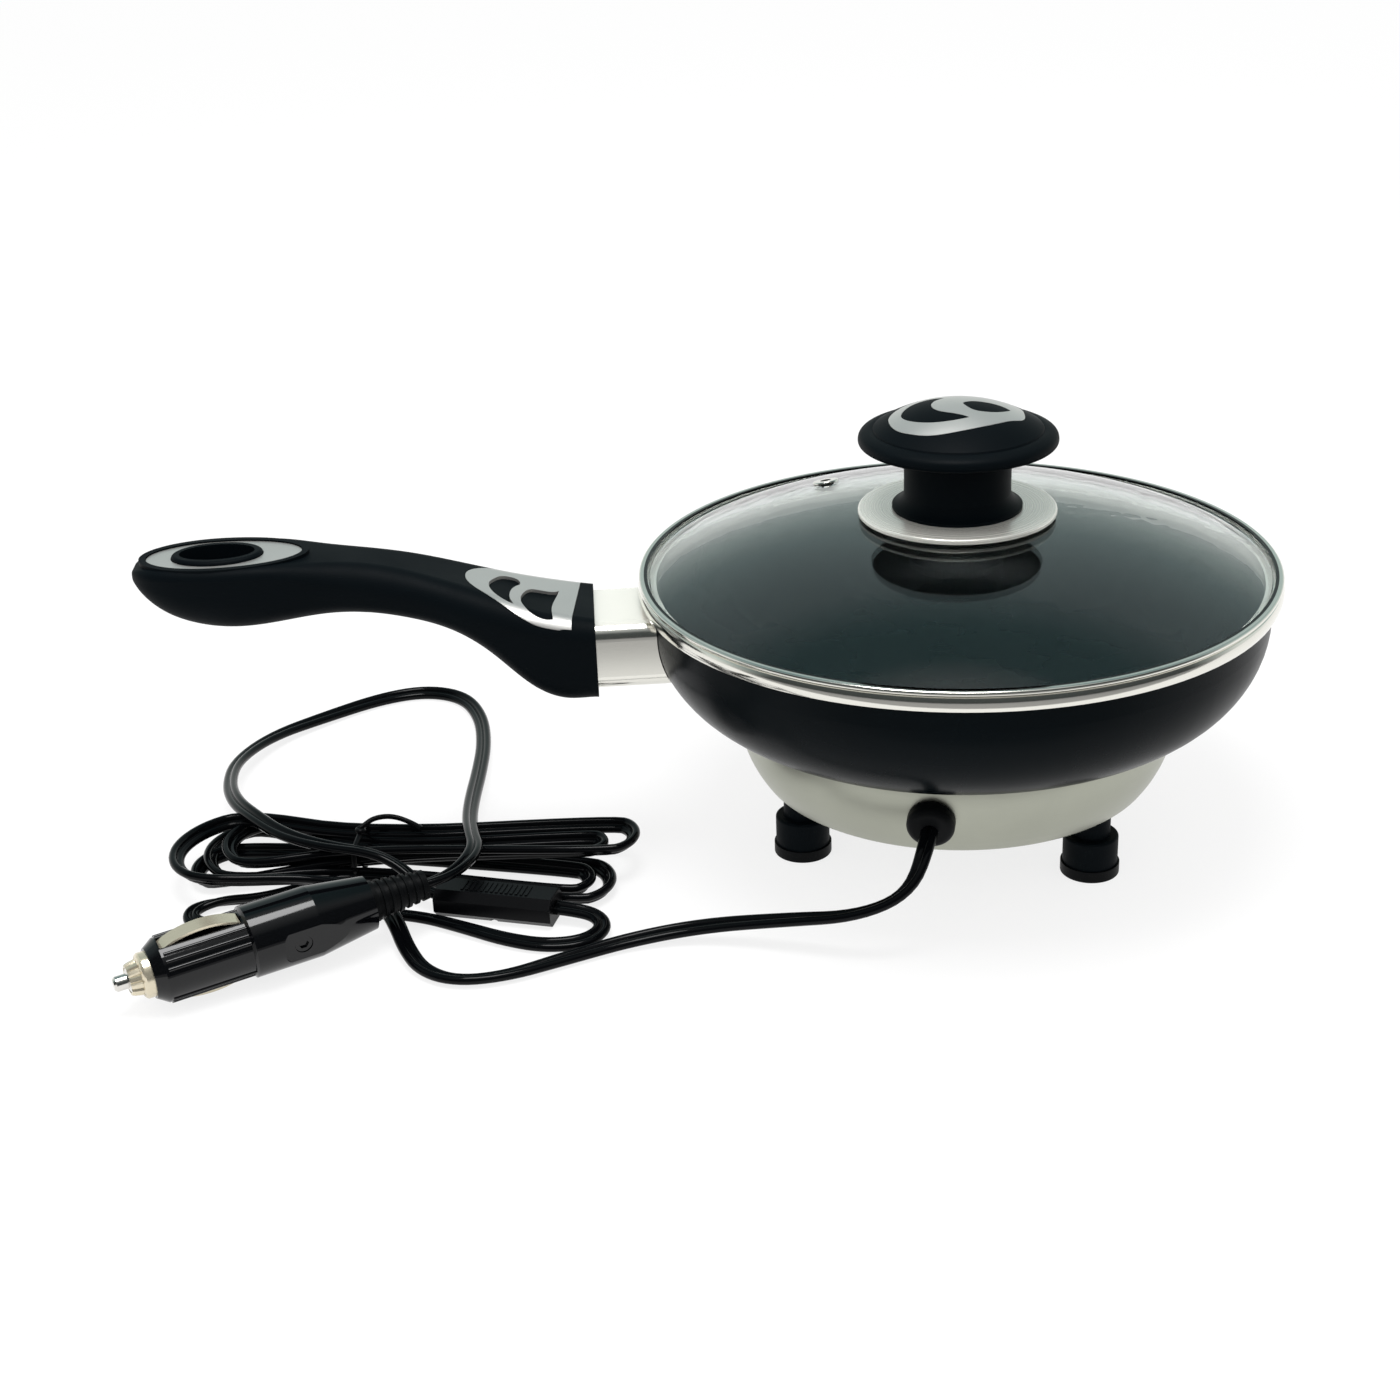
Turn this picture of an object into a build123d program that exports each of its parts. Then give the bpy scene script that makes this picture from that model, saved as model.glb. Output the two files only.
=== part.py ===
"""Twelve-volt travel skillet: a lidded pan on a heated base, with its tied-up lead and plug.

Millimetres. The origin is on the pan's axis at table height, +Z is up and the handle points along -X.
"""
import math
import os

from build123d import *

# Pan
PAN_R = 96.8
PAN_RIM_Z = 86.0
PAN_BOTTOM_Z = 47.0
PAN_WALL = 2.4
PAN_BEND_R = 31.8

# Lid
RIM_OVERHANG = 3.1
RIM_H = 6.1
RIM_SHEET = 0.7
RIM_LIP = 1.6
RIM_SKIRT_H = 2.4
GLASS_T = 4.0
GLASS_RISE = 22.9
CROWN_FLAT_R = 12.0
VENT_R = 60.0
VENT_ANGLE = 126.2
VENT_HOLE_R = 2.6
VENT_FLANGE = 1.6

# Knob
DISC_R = 30.7
DISC_T = 1.5
STEM_FLANGE_R = 20.1
STEM_FLANGE_H = 2.6
NECK_R = 16.5
NECK_TOP_R = 16.8
CAP_R = 30.6
CAP_STANDOFF = 21.9
CAP_BRIM_H = 5.1
CAP_BRIM_W = 4.8
CAP_EDGE_R = 1.4
CAP_GROOVE = 0.5
CAP_DOME_H = 7.5
SCREW_R = 2.0
SCREW_HEAD_R = 4.0
SCREW_HEAD_H = 2.4
WASHER_R = 10.0
WASHER_T = 1.2
INLAY_T = 1.0

# Heated base
CUP_DEPTH = 24.4
CUP_INSET = 27.0
CUP_TAPER = 7.6
CUP_BULGE = 2.4
CUP_CORNER_R = 3.0
CUP_WALL = 0.8
STUD_R = 2.5
NUT_ACROSS_R = 5.0
NUT_H = 3.8
PLATE_INSET = 4.8
PLATE_T = 2.4
ELEMENT_INSET = 16.0
ELEMENT_TUBE_R = 3.3
ELEMENT_GAP = 30.0
PIN_R = 1.5
CLAMP_W = 14.0
CLAMP_T = 2.0
REFLECTOR_INSET = 6.0
REFLECTOR_T = 0.6
CUTOUT_R = 7.0
CUTOUT_H = 6.0
CUTOUT_OUTWARD = 0.6713
BLOCK_L = 34.0
BLOCK_W = 12.0
BLOCK_H = 7.0

# Feet
FOOT_INSET = 9.4
FOOT_ANGLE = 194.5
FOOT_COUNT = 3
POST_R = 8.6
POST_BODY_H = 10.4
POST_NECK_R = 6.0
PAD_R = 9.2
PAD_H = 3.8
PAD_FLOOR = 3.0
FOOT_SCREW_R = 1.6
FOOT_SCREW_L = 11.0

# Handle
GUARD_W = 36.0
GUARD_H = 21.6
GUARD_DROP = 13.0
GUARD_L = 17.2
GUARD_CORNER_R = 5.0
GUARD_WALL = 1.2
GUARD_INSERT = 3.0
TONGUE_W = 18.0
TONGUE_H = 8.0
TONGUE_L = 21.0
HANDLE_SCREW_BACK = 12.0
HANG_BACK = 114.0
HANG_L = 23.0
HANG_W = 13.4
HANG_RING = 2.5
HANG_RING_H = 1.2
BEZEL_RISE = 34.5
BEZEL_W = 24.0
BEZEL_REAR = 21.6
BEZEL_FRONT = 25.8
COLLAR_W = 2.2
COLLAR_H = 0.5

# Lead and its fittings
CORD_D = 4.2
GROMMET_ANGLE = 254.9
GROMMET_RISE = 13.9
GROMMET_R = 7.2
GROMMET_NECK_R = 5.0
GROMMET_OUT = 5.0
GROMMET_BORE = 3.0
TIE_T = 0.6
TIE_W = 3.0
CASE_L = 38.0
CASE_W = 13.0
CASE_H = 9.5
CASE_CHAMFER = 2.6
CASE_WALL = 1.8
CASE_ENTRY = 2.0
CASE_FUSE_R = 2.4
CASE_FUSE_L = 20.0

# Plug
PLUG_TIP = Vector(-257.6, -88.6, 11.0)
PLUG_END = Vector(-170.3, -47.7, 15.0)
PLUG_PIN_R = 2.3
PLUG_COLLAR_R = 3.7
PLUG_NUT_R = 6.9
PLUG_FRONT_S = 10.6
PLUG_NOSE_R = 9.8
PLUG_GRIP_S = 39.2
PLUG_GRIP_R = 11.0
PLUG_TAPER_S = 60.2
PLUG_REAR_S = 78.2
PLUG_REAR_R = 8.4
PLUG_BORE_R = 5.0
RIB_R = 0.6
PLUG_FUSE_R = 3.1
PLUG_FUSE_L = 25.0
PLUG_SPRING_L = 10.0
PIN_TRAVEL = 3.0
CONTACT_W = 5.0
CONTACT_T = 0.8
CONTACT_S = (14.5, 38.4)
CONTACT_PROUD = 1.9
CONTACT_TRAVEL = 1.8
PANEL_S = 61.2
PANEL_L = 26.0
PANEL_W = 11.0
PANEL_DEPTH = 1.2
PLUG_SCREW_S = 54.2
RELIEF_R = 6.6
RELIEF_END_R = 4.6
RELIEF_RIBS = 6
RELIEF_RIB_H = 0.7

# Fits
SLIP = 0.15
GAP = 0.3

os.makedirs("parts", exist_ok=True)


def keep(piece, name):
    """Label a finished piece and write it to its own file."""
    piece.part.label = name
    export_step(piece.part, f"parts/{name}.step")


def polar(radius, angle, z=0.0):
    """Point at a radius and an angle in degrees about the pan's axis."""
    return Vector(radius * math.cos(math.radians(angle)), radius * math.sin(math.radians(angle)), z)


def ring_disc(outer_r, inner_r, low_z, high_z):
    """Flat ring about the pan's axis."""
    with BuildPart() as ring:
        with BuildSketch(Plane.XY.offset(low_z)):
            Circle(outer_r)
            Circle(inner_r, mode=Mode.SUBTRACT)
        extrude(amount=high_z - low_z)
    return ring


# Pan: a pressed bowl with a flat floor and an upright brim
PAN_FLAT_R = PAN_R - PAN_BEND_R
PAN_BEND_Z = PAN_BOTTOM_Z + PAN_BEND_R


def pan_under(radius):
    """Height of the pan's outer face on its bend, at a radius."""
    return PAN_BEND_Z - math.sqrt(PAN_BEND_R**2 - (radius - PAN_FLAT_R) ** 2)


def bowl_profile(outer_r, bottom_z, bend_r, top_z):
    """Half section of a filled bowl, for turning about the axis."""
    flat_r = outer_r - bend_r
    with BuildSketch(Plane.XZ) as section:
        with BuildLine():
            Line((0, bottom_z), (flat_r, bottom_z))
            JernArc((flat_r, bottom_z), (1, 0), bend_r, 90)
            Polyline((outer_r, bottom_z + bend_r), (outer_r, top_z), (0, top_z), (0, bottom_z))
        make_face()
    return section.sketch


with BuildPart() as pan_shell:
    add(bowl_profile(PAN_R, PAN_BOTTOM_Z, PAN_BEND_R, PAN_RIM_Z))
    revolve(axis=Axis.Z)
    with BuildPart(mode=Mode.PRIVATE) as pan_hollow:
        add(bowl_profile(PAN_R - PAN_WALL, PAN_BOTTOM_Z + PAN_WALL, PAN_BEND_R - PAN_WALL, PAN_RIM_Z))
        revolve(axis=Axis.Z)
    add(pan_hollow.part, mode=Mode.SUBTRACT)
keep(pan_shell, "pan_shell")

with BuildPart() as pan_clearance:
    add(bowl_profile(PAN_R + SLIP, PAN_BOTTOM_Z - SLIP, PAN_BEND_R, PAN_RIM_Z))
    revolve(axis=Axis.Z)

# Lid rim: a folded steel channel that holds the glass, with a skirt that drops inside the pan
RIM_R = PAN_R + RIM_OVERHANG
RIM_TOP_Z = PAN_RIM_Z + RIM_H
RIM_INNER_R = PAN_R - PAN_WALL - 2 * GAP
GLASS_EDGE_R = RIM_R - 2.1
GLASS_EDGE_Z = RIM_TOP_Z - RIM_SHEET - SLIP
BAND_TOP_Z = PAN_RIM_Z + 0.68 * RIM_H

with BuildPart() as lid_rim:
    with BuildSketch(Plane.XZ):
        with BuildLine():
            skirt = Polyline(
                (RIM_INNER_R - RIM_SHEET, PAN_RIM_Z + RIM_SHEET),
                (RIM_INNER_R - RIM_SHEET, PAN_RIM_Z - RIM_SKIRT_H),
                (RIM_INNER_R, PAN_RIM_Z - RIM_SKIRT_H),
                (RIM_INNER_R, PAN_RIM_Z),
                (RIM_R - 0.6, PAN_RIM_Z),
            )
            band = ThreePointArc(
                skirt @ 1,
                (RIM_R, (PAN_RIM_Z + BAND_TOP_Z) / 2),
                (RIM_R - 0.6, BAND_TOP_Z),
            )
            groove = Line(band @ 1, (RIM_R - 1.2, BAND_TOP_Z + 0.4))
            bead = ThreePointArc(
                groove @ 1,
                (RIM_R - 0.3, (BAND_TOP_Z + 0.4 + RIM_TOP_Z) / 2),
                (RIM_R - 1.3, RIM_TOP_Z),
            )
            Polyline(
                bead @ 1,
                (RIM_R - 1.3 - RIM_LIP, RIM_TOP_Z),
                (RIM_R - 1.3 - RIM_LIP, RIM_TOP_Z - RIM_SHEET),
                (GLASS_EDGE_R + SLIP, RIM_TOP_Z - RIM_SHEET),
                (GLASS_EDGE_R + SLIP, PAN_RIM_Z + RIM_SHEET),
                skirt @ 0,
            )
        make_face()
    revolve(axis=Axis.Z)
keep(lid_rim, "lid_rim")

# Lid glass: a narrow flat edge under the rim and a shallow dome with a flat crown for the knob
GLASS_CROWN_Z = PAN_RIM_Z + GLASS_RISE
DOME_R = RIM_R - 1.3 - RIM_LIP - 0.6
DOME_UNDER_R = DOME_R - 1.6


def dome_z(radius):
    """Height of the glass's upper face between its crown and its edge."""
    reach = DOME_R - CROWN_FLAT_R
    drop = GLASS_CROWN_Z - GLASS_EDGE_Z
    ball = (reach * reach + drop * drop) / (2 * drop)
    return GLASS_CROWN_Z - ball + math.sqrt(ball * ball - max(0.0, radius - CROWN_FLAT_R) ** 2)


MID_R = (CROWN_FLAT_R + DOME_R) / 2
VENT_AT = polar(VENT_R, VENT_ANGLE, dome_z(VENT_R))
VENT_SLOPE = (dome_z(VENT_R - 1) - dome_z(VENT_R + 1)) / 2
VENT_OUT = polar(VENT_SLOPE, VENT_ANGLE, 1.0)
VENT_PLANE = Plane(origin=VENT_AT, z_dir=VENT_OUT)

with BuildPart() as lid_glass:
    with BuildSketch(Plane.XZ):
        with BuildLine():
            top_edge = Line((GLASS_EDGE_R, GLASS_EDGE_Z), (DOME_R, GLASS_EDGE_Z))
            dome = ThreePointArc(top_edge @ 1, (MID_R, dome_z(MID_R)), (CROWN_FLAT_R, GLASS_CROWN_Z))
            under = Polyline(
                dome @ 1,
                (SCREW_R + SLIP, GLASS_CROWN_Z),
                (SCREW_R + SLIP, GLASS_CROWN_Z - GLASS_T),
                (CROWN_FLAT_R, GLASS_CROWN_Z - GLASS_T),
            )
            under_dome = ThreePointArc(
                under @ 1,
                (MID_R - 0.8, dome_z(MID_R) - GLASS_T),
                (DOME_UNDER_R, GLASS_EDGE_Z - GLASS_T),
            )
            Polyline(
                under_dome @ 1,
                (GLASS_EDGE_R, GLASS_EDGE_Z - GLASS_T),
                (GLASS_EDGE_R, GLASS_EDGE_Z),
            )
        make_face()
    revolve(axis=Axis.Z)
    with BuildSketch(VENT_PLANE):
        Circle(VENT_HOLE_R)
    extrude(amount=2 * GLASS_T, both=True, mode=Mode.SUBTRACT)
keep(lid_glass, "lid_glass")

with BuildPart() as vent_eyelet:
    with BuildSketch(VENT_PLANE.offset(SLIP)):
        Circle(VENT_HOLE_R + VENT_FLANGE)
    extrude(amount=RIM_SHEET)
    with BuildSketch(VENT_PLANE.offset(SLIP)):
        Circle(VENT_HOLE_R - SLIP)
    extrude(amount=-GLASS_T)
    fillet(vent_eyelet.faces().sort_by(Axis(VENT_AT, VENT_OUT))[-1].edges(), RIM_SHEET / 2)
    with BuildSketch(VENT_PLANE):
        Circle(VENT_HOLE_R - SLIP - RIM_SHEET)
    extrude(amount=2 * GLASS_T, both=True, mode=Mode.SUBTRACT)
keep(vent_eyelet, "vent_eyelet")

# Knob: steel disc, waisted stem and a soft cap with a silver swirl, all drawn together by one screw
CAP_UNDER_Z = GLASS_CROWN_Z + CAP_STANDOFF
DISC_TOP_Z = GLASS_CROWN_Z + DISC_T
SCREW_TOP_Z = CAP_UNDER_Z + 4.0

with BuildPart() as knob_disc:
    with BuildSketch(Plane.XY.offset(GLASS_CROWN_Z)):
        Circle(DISC_R)
        Circle(SCREW_R + SLIP, mode=Mode.SUBTRACT)
    extrude(amount=DISC_T)
    fillet(knob_disc.faces().sort_by(Axis.Z)[-1].edges().sort_by(SortBy.RADIUS)[-1], DISC_T / 2)
keep(knob_disc, "knob_disc")

with BuildPart() as knob_stem:
    with BuildSketch(Plane.XZ):
        with BuildLine():
            stem_foot = Polyline(
                (SCREW_R + SLIP, DISC_TOP_Z), (STEM_FLANGE_R, DISC_TOP_Z), (STEM_FLANGE_R, DISC_TOP_Z + 1.0)
            )
            stem_flare = TangentArc(
                stem_foot @ 1, (NECK_R, DISC_TOP_Z + STEM_FLANGE_H + 2.0), tangent=(-1, 0.35)
            )
            stem_neck = Spline(
                stem_flare @ 1, (NECK_R, (DISC_TOP_Z + CAP_UNDER_Z) / 2 + 2), (NECK_TOP_R, CAP_UNDER_Z)
            )
            Polyline(stem_neck @ 1, (SCREW_R + SLIP, CAP_UNDER_Z), stem_foot @ 0)
        make_face()
    revolve(axis=Axis.Z)
keep(knob_stem, "knob_stem")

CAP_RIM_Z = CAP_UNDER_Z + CAP_BRIM_H
CAP_TOP_Z = CAP_RIM_Z + CAP_DOME_H
CAP_CREASE_R = CAP_R - CAP_BRIM_W
CAP_BALL_R = (CAP_CREASE_R**2 + CAP_DOME_H**2) / (2 * CAP_DOME_H)


def cap_body(drop):
    """Knob cap before its inlay is let in, lowered by a given drop."""
    mid_r = CAP_CREASE_R / 2
    mid_z = CAP_TOP_Z - CAP_BALL_R + math.sqrt(CAP_BALL_R**2 - mid_r**2)
    waist_z = CAP_UNDER_Z + CAP_EDGE_R - drop
    with BuildPart() as body:
        with BuildSketch(Plane.XZ):
            with BuildLine():
                Polyline(
                    (CAP_R - CAP_EDGE_R, CAP_UNDER_Z - drop), (0, CAP_UNDER_Z - drop), (0, CAP_TOP_Z - drop)
                )
                ThreePointArc((0, CAP_TOP_Z - drop), (mid_r, mid_z - drop), (CAP_CREASE_R, CAP_RIM_Z - drop))
                groove_foot = (CAP_CREASE_R + 0.3, CAP_RIM_Z - CAP_GROOVE - drop)
                Line((CAP_CREASE_R, CAP_RIM_Z - drop), groove_foot)
                Spline(
                    groove_foot,
                    (CAP_CREASE_R + 0.55 * CAP_BRIM_W, CAP_RIM_Z - 0.18 * CAP_BRIM_H - drop),
                    (CAP_R, waist_z),
                    tangents=[(1, 0.15), (0, -1)],
                )
                TangentArc((CAP_R, waist_z), (CAP_R - CAP_EDGE_R, CAP_UNDER_Z - drop), tangent=(0, -1))
            make_face()
        revolve(axis=Axis.Z)
    return body.part


# Plan of the silver swirl: its outline, and two windows that come to a point
SWIRL_OUTLINE = [
    (-21.2, 1.5), (-21.2, -3.6), (-19.7, -9.0), (-16.2, -13.5), (-11.7, -16.6), (-8.1, -17.5), (-4.5, -17.6),
    (0.6, -16.9), (5.5, -15.4), (10.6, -12.8), (14.8, -10.0), (18.3, -7.5), (19.6, -4.5), (20.1, -0.7),
    (20.1, 4.8), (17.0, 10.0), (10.0, 14.5), (0.0, 16.5), (-10.0, 14.5), (-17.5, 9.0), (-19.9, 5.5),
]
SWIRL_LEFT_WINDOW = [
    [
        (1.4, -10.9), (-4.5, -12.0), (-9.9, -11.0), (-15.0, -7.2), (-17.0, -3.8), (-17.6, -0.6), (-16.4, 3.4),
        (-13.0, 7.6), (-7.5, 9.6), (-3.2, 7.4),
    ],
    [(-3.2, 7.4), (-6.6, 4.8), (-8.2, 0.9), (-7.0, -4.4), (-2.9, -7.8), (1.4, -10.9)],
]
SWIRL_RIGHT_WINDOW = [
    [
        (15.5, -2.5), (12.4, -5.5), (7.4, -7.2), (3.8, -6.3), (1.7, -2.7), (1.4, -0.3), (4.3, 1.5), (8.5, 1.4),
        (12.9, -0.1), (15.5, -2.5),
    ],
]


def moved_out(points, amount):
    """Closed round of points, each moved square to its neighbours' line; inwards for a negative amount."""
    count = len(points)
    turn = 0.0
    for index, point in enumerate(points):
        after = points[(index + 1) % count]
        turn += point[0] * after[1] - after[0] * point[1]
    side = math.copysign(amount, turn * amount)
    moved = []
    for index, point in enumerate(points):
        before = points[index - 1]
        after = points[(index + 1) % count]
        along = Vector(after[0] - before[0], after[1] - before[1]).normalized()
        moved.append((point[0] + along.Y * side, point[1] - along.X * side))
    return moved


def window_plan(runs, grow):
    """Flat window from smooth runs that meet at points, shrunk all round by a slip."""
    ring = moved_out([point for run in runs for point in run[:-1]], -grow)
    ring.append(ring[0])
    first = 0
    with BuildSketch() as plan:
        with BuildLine():
            for run in runs:
                last = first + len(run) - 1
                Spline(*ring[first : last + 1])
                first = last
        make_face()
    return plan.sketch


def swirl(grow):
    """Plan of the knob's silver swirl, with its outline grown and its windows shrunk by a slip."""
    with BuildSketch(Plane.XY.offset(CAP_UNDER_Z + 1)) as plan:
        with BuildLine():
            Spline(*moved_out(SWIRL_OUTLINE, grow), periodic=True)
        make_face()
        add(window_plan(SWIRL_LEFT_WINDOW, grow), mode=Mode.SUBTRACT)
        add(window_plan(SWIRL_RIGHT_WINDOW, grow), mode=Mode.SUBTRACT)
    return plan.sketch


with BuildPart() as knob_inlay:
    add(swirl(0))
    extrude(amount=CAP_TOP_Z)
    add(cap_body(0), mode=Mode.INTERSECT)
    add(cap_body(INLAY_T), mode=Mode.SUBTRACT)
keep(knob_inlay, "knob_inlay")

with BuildPart() as knob_cap:
    with BuildPart(mode=Mode.PRIVATE) as swirl_seat:
        add(swirl(SLIP))
        extrude(amount=CAP_TOP_Z)
        add(cap_body(INLAY_T + 0.02), mode=Mode.SUBTRACT)
    add(cap_body(0))
    add(swirl_seat.part, mode=Mode.SUBTRACT)
    with BuildSketch(Plane.XY.offset(CAP_UNDER_Z)):
        Circle(SCREW_R + SLIP)
    extrude(amount=SCREW_TOP_Z - CAP_UNDER_Z + SLIP, mode=Mode.SUBTRACT)
keep(knob_cap, "knob_cap")

WASHER_TOP_Z = GLASS_CROWN_Z - GLASS_T
keep(ring_disc(WASHER_R, SCREW_R + SLIP, WASHER_TOP_Z - WASHER_T, WASHER_TOP_Z), "lid_washer")

with BuildPart() as knob_screw:
    with BuildSketch(Plane.XY.offset(WASHER_TOP_Z - WASHER_T)):
        Circle(SCREW_HEAD_R)
    extrude(amount=-SCREW_HEAD_H)
    fillet(knob_screw.faces().sort_by(Axis.Z)[0].edges(), SCREW_HEAD_H / 3)
    with BuildSketch(Plane.XY.offset(WASHER_TOP_Z - WASHER_T)):
        Circle(SCREW_R)
    extrude(amount=SCREW_TOP_Z - WASHER_TOP_Z + WASHER_T)
    with BuildSketch(Plane.XY.offset(WASHER_TOP_Z - WASHER_T - SCREW_HEAD_H)):
        Rectangle(SCREW_HEAD_R, 0.8)
        Rectangle(0.8, SCREW_HEAD_R)
    extrude(amount=SCREW_HEAD_H / 2, mode=Mode.SUBTRACT)
keep(knob_screw, "knob_screw")

# Heated base: steel cup under the pan, drawn up by a stud and nut at its centre
CUP_TOP_R = PAN_R - CUP_INSET
CUP_BOTTOM_R = CUP_TOP_R - CUP_TAPER
CUP_BOTTOM_Z = PAN_BOTTOM_Z - CUP_DEPTH
CUP_TOP_Z = pan_under(CUP_TOP_R - CUP_WALL) - 0.1
CUP_FLOOR_Z = CUP_BOTTOM_Z + CUP_WALL
CUP_CHORD = Vector(CUP_TAPER, 0, CUP_TOP_Z - CUP_BOTTOM_Z)
CUP_OUT = Vector(CUP_CHORD.Z, 0, -CUP_CHORD.X).normalized()
CUP_MID = Vector(CUP_BOTTOM_R, 0, CUP_BOTTOM_Z) + CUP_CHORD * 0.5 + CUP_OUT * CUP_BULGE
CUP_ARC_R = (CUP_CHORD.length**2 / 4 + CUP_BULGE**2) / (2 * CUP_BULGE)
CUP_ARC_AT = CUP_MID - CUP_OUT * CUP_ARC_R


def cup_radius(z):
    """Outer radius of the cup's rounded wall at a height."""
    return CUP_ARC_AT.X + math.sqrt(CUP_ARC_R**2 - (z - CUP_ARC_AT.Z) ** 2)


GROMMET_Z = CUP_BOTTOM_Z + GROMMET_RISE
CUP_SLOPE = math.degrees(math.asin((CUP_ARC_AT.Z - GROMMET_Z) / CUP_ARC_R))
FOOT_CIRCLE_R = CUP_BOTTOM_R - FOOT_INSET
PLATE_R = CUP_BOTTOM_R - PLATE_INSET
ELEMENT_R = PLATE_R - ELEMENT_INSET
CUTOUT_ROOM = ELEMENT_R - ELEMENT_TUBE_R - STUD_R - 2 * CUTOUT_R
CUTOUT_Y = STUD_R + CUTOUT_R + CUTOUT_OUTWARD * CUTOUT_ROOM
REFLECTOR_R = PLATE_R - REFLECTOR_INSET
GROMMET_AT = polar(cup_radius(GROMMET_Z), GROMMET_ANGLE, GROMMET_Z)
GROMMET_OUTWARD = polar(
    math.cos(math.radians(CUP_SLOPE)), GROMMET_ANGLE, -math.sin(math.radians(CUP_SLOPE))
)
GROMMET_PLANE = Plane(origin=GROMMET_AT, z_dir=GROMMET_OUTWARD)
FOOT_ANGLES = [FOOT_ANGLE + 360.0 / FOOT_COUNT * turn for turn in range(FOOT_COUNT)]
FOOT_POINTS = [polar(FOOT_CIRCLE_R, angle) for angle in FOOT_ANGLES]

with BuildPart() as base_cup:
    with BuildSketch(Plane.XZ):
        with BuildLine():
            cup_floor = Line((0, CUP_BOTTOM_Z), (CUP_BOTTOM_R, CUP_BOTTOM_Z))
            cup_wall = ThreePointArc(cup_floor @ 1, (CUP_MID.X, CUP_MID.Z), (CUP_TOP_R, CUP_TOP_Z))
            Polyline(cup_wall @ 1, (0, CUP_TOP_Z), cup_floor @ 0)
        make_face()
    revolve(axis=Axis.Z)
    fillet(base_cup.faces().sort_by(Axis.Z)[0].edges(), CUP_CORNER_R)
    offset(amount=-CUP_WALL, openings=base_cup.faces().sort_by(Axis.Z)[-1])
    with BuildSketch(Plane.XY.offset(CUP_BOTTOM_Z)):
        Circle(STUD_R + SLIP)
        with Locations(*[(point.X, point.Y) for point in FOOT_POINTS]):
            Circle(FOOT_SCREW_R + SLIP)
    extrude(amount=CUP_WALL, mode=Mode.SUBTRACT)
    with BuildSketch(GROMMET_PLANE):
        Circle(GROMMET_NECK_R + SLIP)
    extrude(amount=3 * CUP_WALL, both=True, mode=Mode.SUBTRACT)
keep(base_cup, "base_cup")

with BuildPart() as base_stud:
    with BuildSketch(Plane.XY.offset(CUP_BOTTOM_Z - NUT_H - 1.0)):
        Circle(STUD_R)
    extrude(amount=PAN_BOTTOM_Z - CUP_BOTTOM_Z + NUT_H + 1.0)
    chamfer(base_stud.faces().sort_by(Axis.Z)[0].edges(), STUD_R / 4)
keep(base_stud, "base_stud")

with BuildPart() as base_nut:
    with BuildSketch(Plane.XY.offset(CUP_BOTTOM_Z - NUT_H)):
        RegularPolygon(NUT_ACROSS_R, 6)
        Circle(STUD_R + SLIP, mode=Mode.SUBTRACT)
    extrude(amount=NUT_H)
keep(base_nut, "base_nut")

PLATE_LOW_Z = PAN_BOTTOM_Z - PLATE_T
ELEMENT_Z = PLATE_LOW_Z - ELEMENT_TUBE_R - 0.05
CLAMP_TOP_Z = ELEMENT_Z - ELEMENT_TUBE_R - 0.05
REFLECTOR_TOP_Z = CLAMP_TOP_Z - CLAMP_T
BLOCK_TOP_Z = CUP_FLOOR_Z + BLOCK_H
PIN_ANGLES = [270.0 - ELEMENT_GAP / 2, 270.0 + ELEMENT_GAP / 2]
PIN_POINTS = [polar(ELEMENT_R, angle) for angle in PIN_ANGLES]
BLOCK_Y = PIN_POINTS[0].Y

keep(ring_disc(PLATE_R, STUD_R + SLIP, PLATE_LOW_Z, PAN_BOTTOM_Z), "heat_plate")

with BuildPart() as heating_element:
    with BuildSketch(Plane((0, 0, 0), x_dir=polar(1, PIN_ANGLES[1]), z_dir=polar(1, PIN_ANGLES[1] - 90))):
        with Locations((ELEMENT_R, ELEMENT_Z)):
            Circle(ELEMENT_TUBE_R)
    revolve(axis=Axis.Z, revolution_arc=360.0 - ELEMENT_GAP)
    with BuildSketch(Plane.XY.offset(BLOCK_TOP_Z)):
        with Locations(*[(point.X, point.Y) for point in PIN_POINTS]):
            Circle(PIN_R)
    extrude(amount=ELEMENT_Z - BLOCK_TOP_Z)
keep(heating_element, "heating_element")

with BuildPart() as element_clamp:
    with BuildSketch(Plane.XY.offset(REFLECTOR_TOP_Z)):
        SlotOverall(2 * (ELEMENT_R + ELEMENT_TUBE_R) + CLAMP_W / 2, CLAMP_W)
        Circle(STUD_R + SLIP, mode=Mode.SUBTRACT)
    extrude(amount=CLAMP_T)
keep(element_clamp, "element_clamp")

with BuildPart() as reflector:
    with BuildSketch(Plane.XY.offset(REFLECTOR_TOP_Z - REFLECTOR_T)):
        Circle(REFLECTOR_R)
        Circle(STUD_R + SLIP, mode=Mode.SUBTRACT)
        with Locations(*[(point.X, point.Y) for point in PIN_POINTS]):
            Circle(2 * PIN_R, mode=Mode.SUBTRACT)
    extrude(amount=REFLECTOR_T)
keep(reflector, "reflector")

with BuildPart() as thermal_cutout:
    with BuildSketch(Plane.XY.offset(PLATE_LOW_Z)):
        with Locations((0, CUTOUT_Y)):
            Circle(CUTOUT_R)
    extrude(amount=-CUTOUT_H)
    fillet(thermal_cutout.faces().sort_by(Axis.Z)[0].edges(), CUTOUT_H / 6)
keep(thermal_cutout, "thermal_cutout")

with BuildPart() as terminal_block:
    with BuildSketch(Plane.XY.offset(CUP_FLOOR_Z)):
        with Locations((0, BLOCK_Y)):
            Rectangle(BLOCK_L, BLOCK_W)
    extrude(amount=BLOCK_H)
    fillet(terminal_block.edges().filter_by(Axis.Z), BLOCK_W / 8)
keep(terminal_block, "terminal_block")

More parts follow.
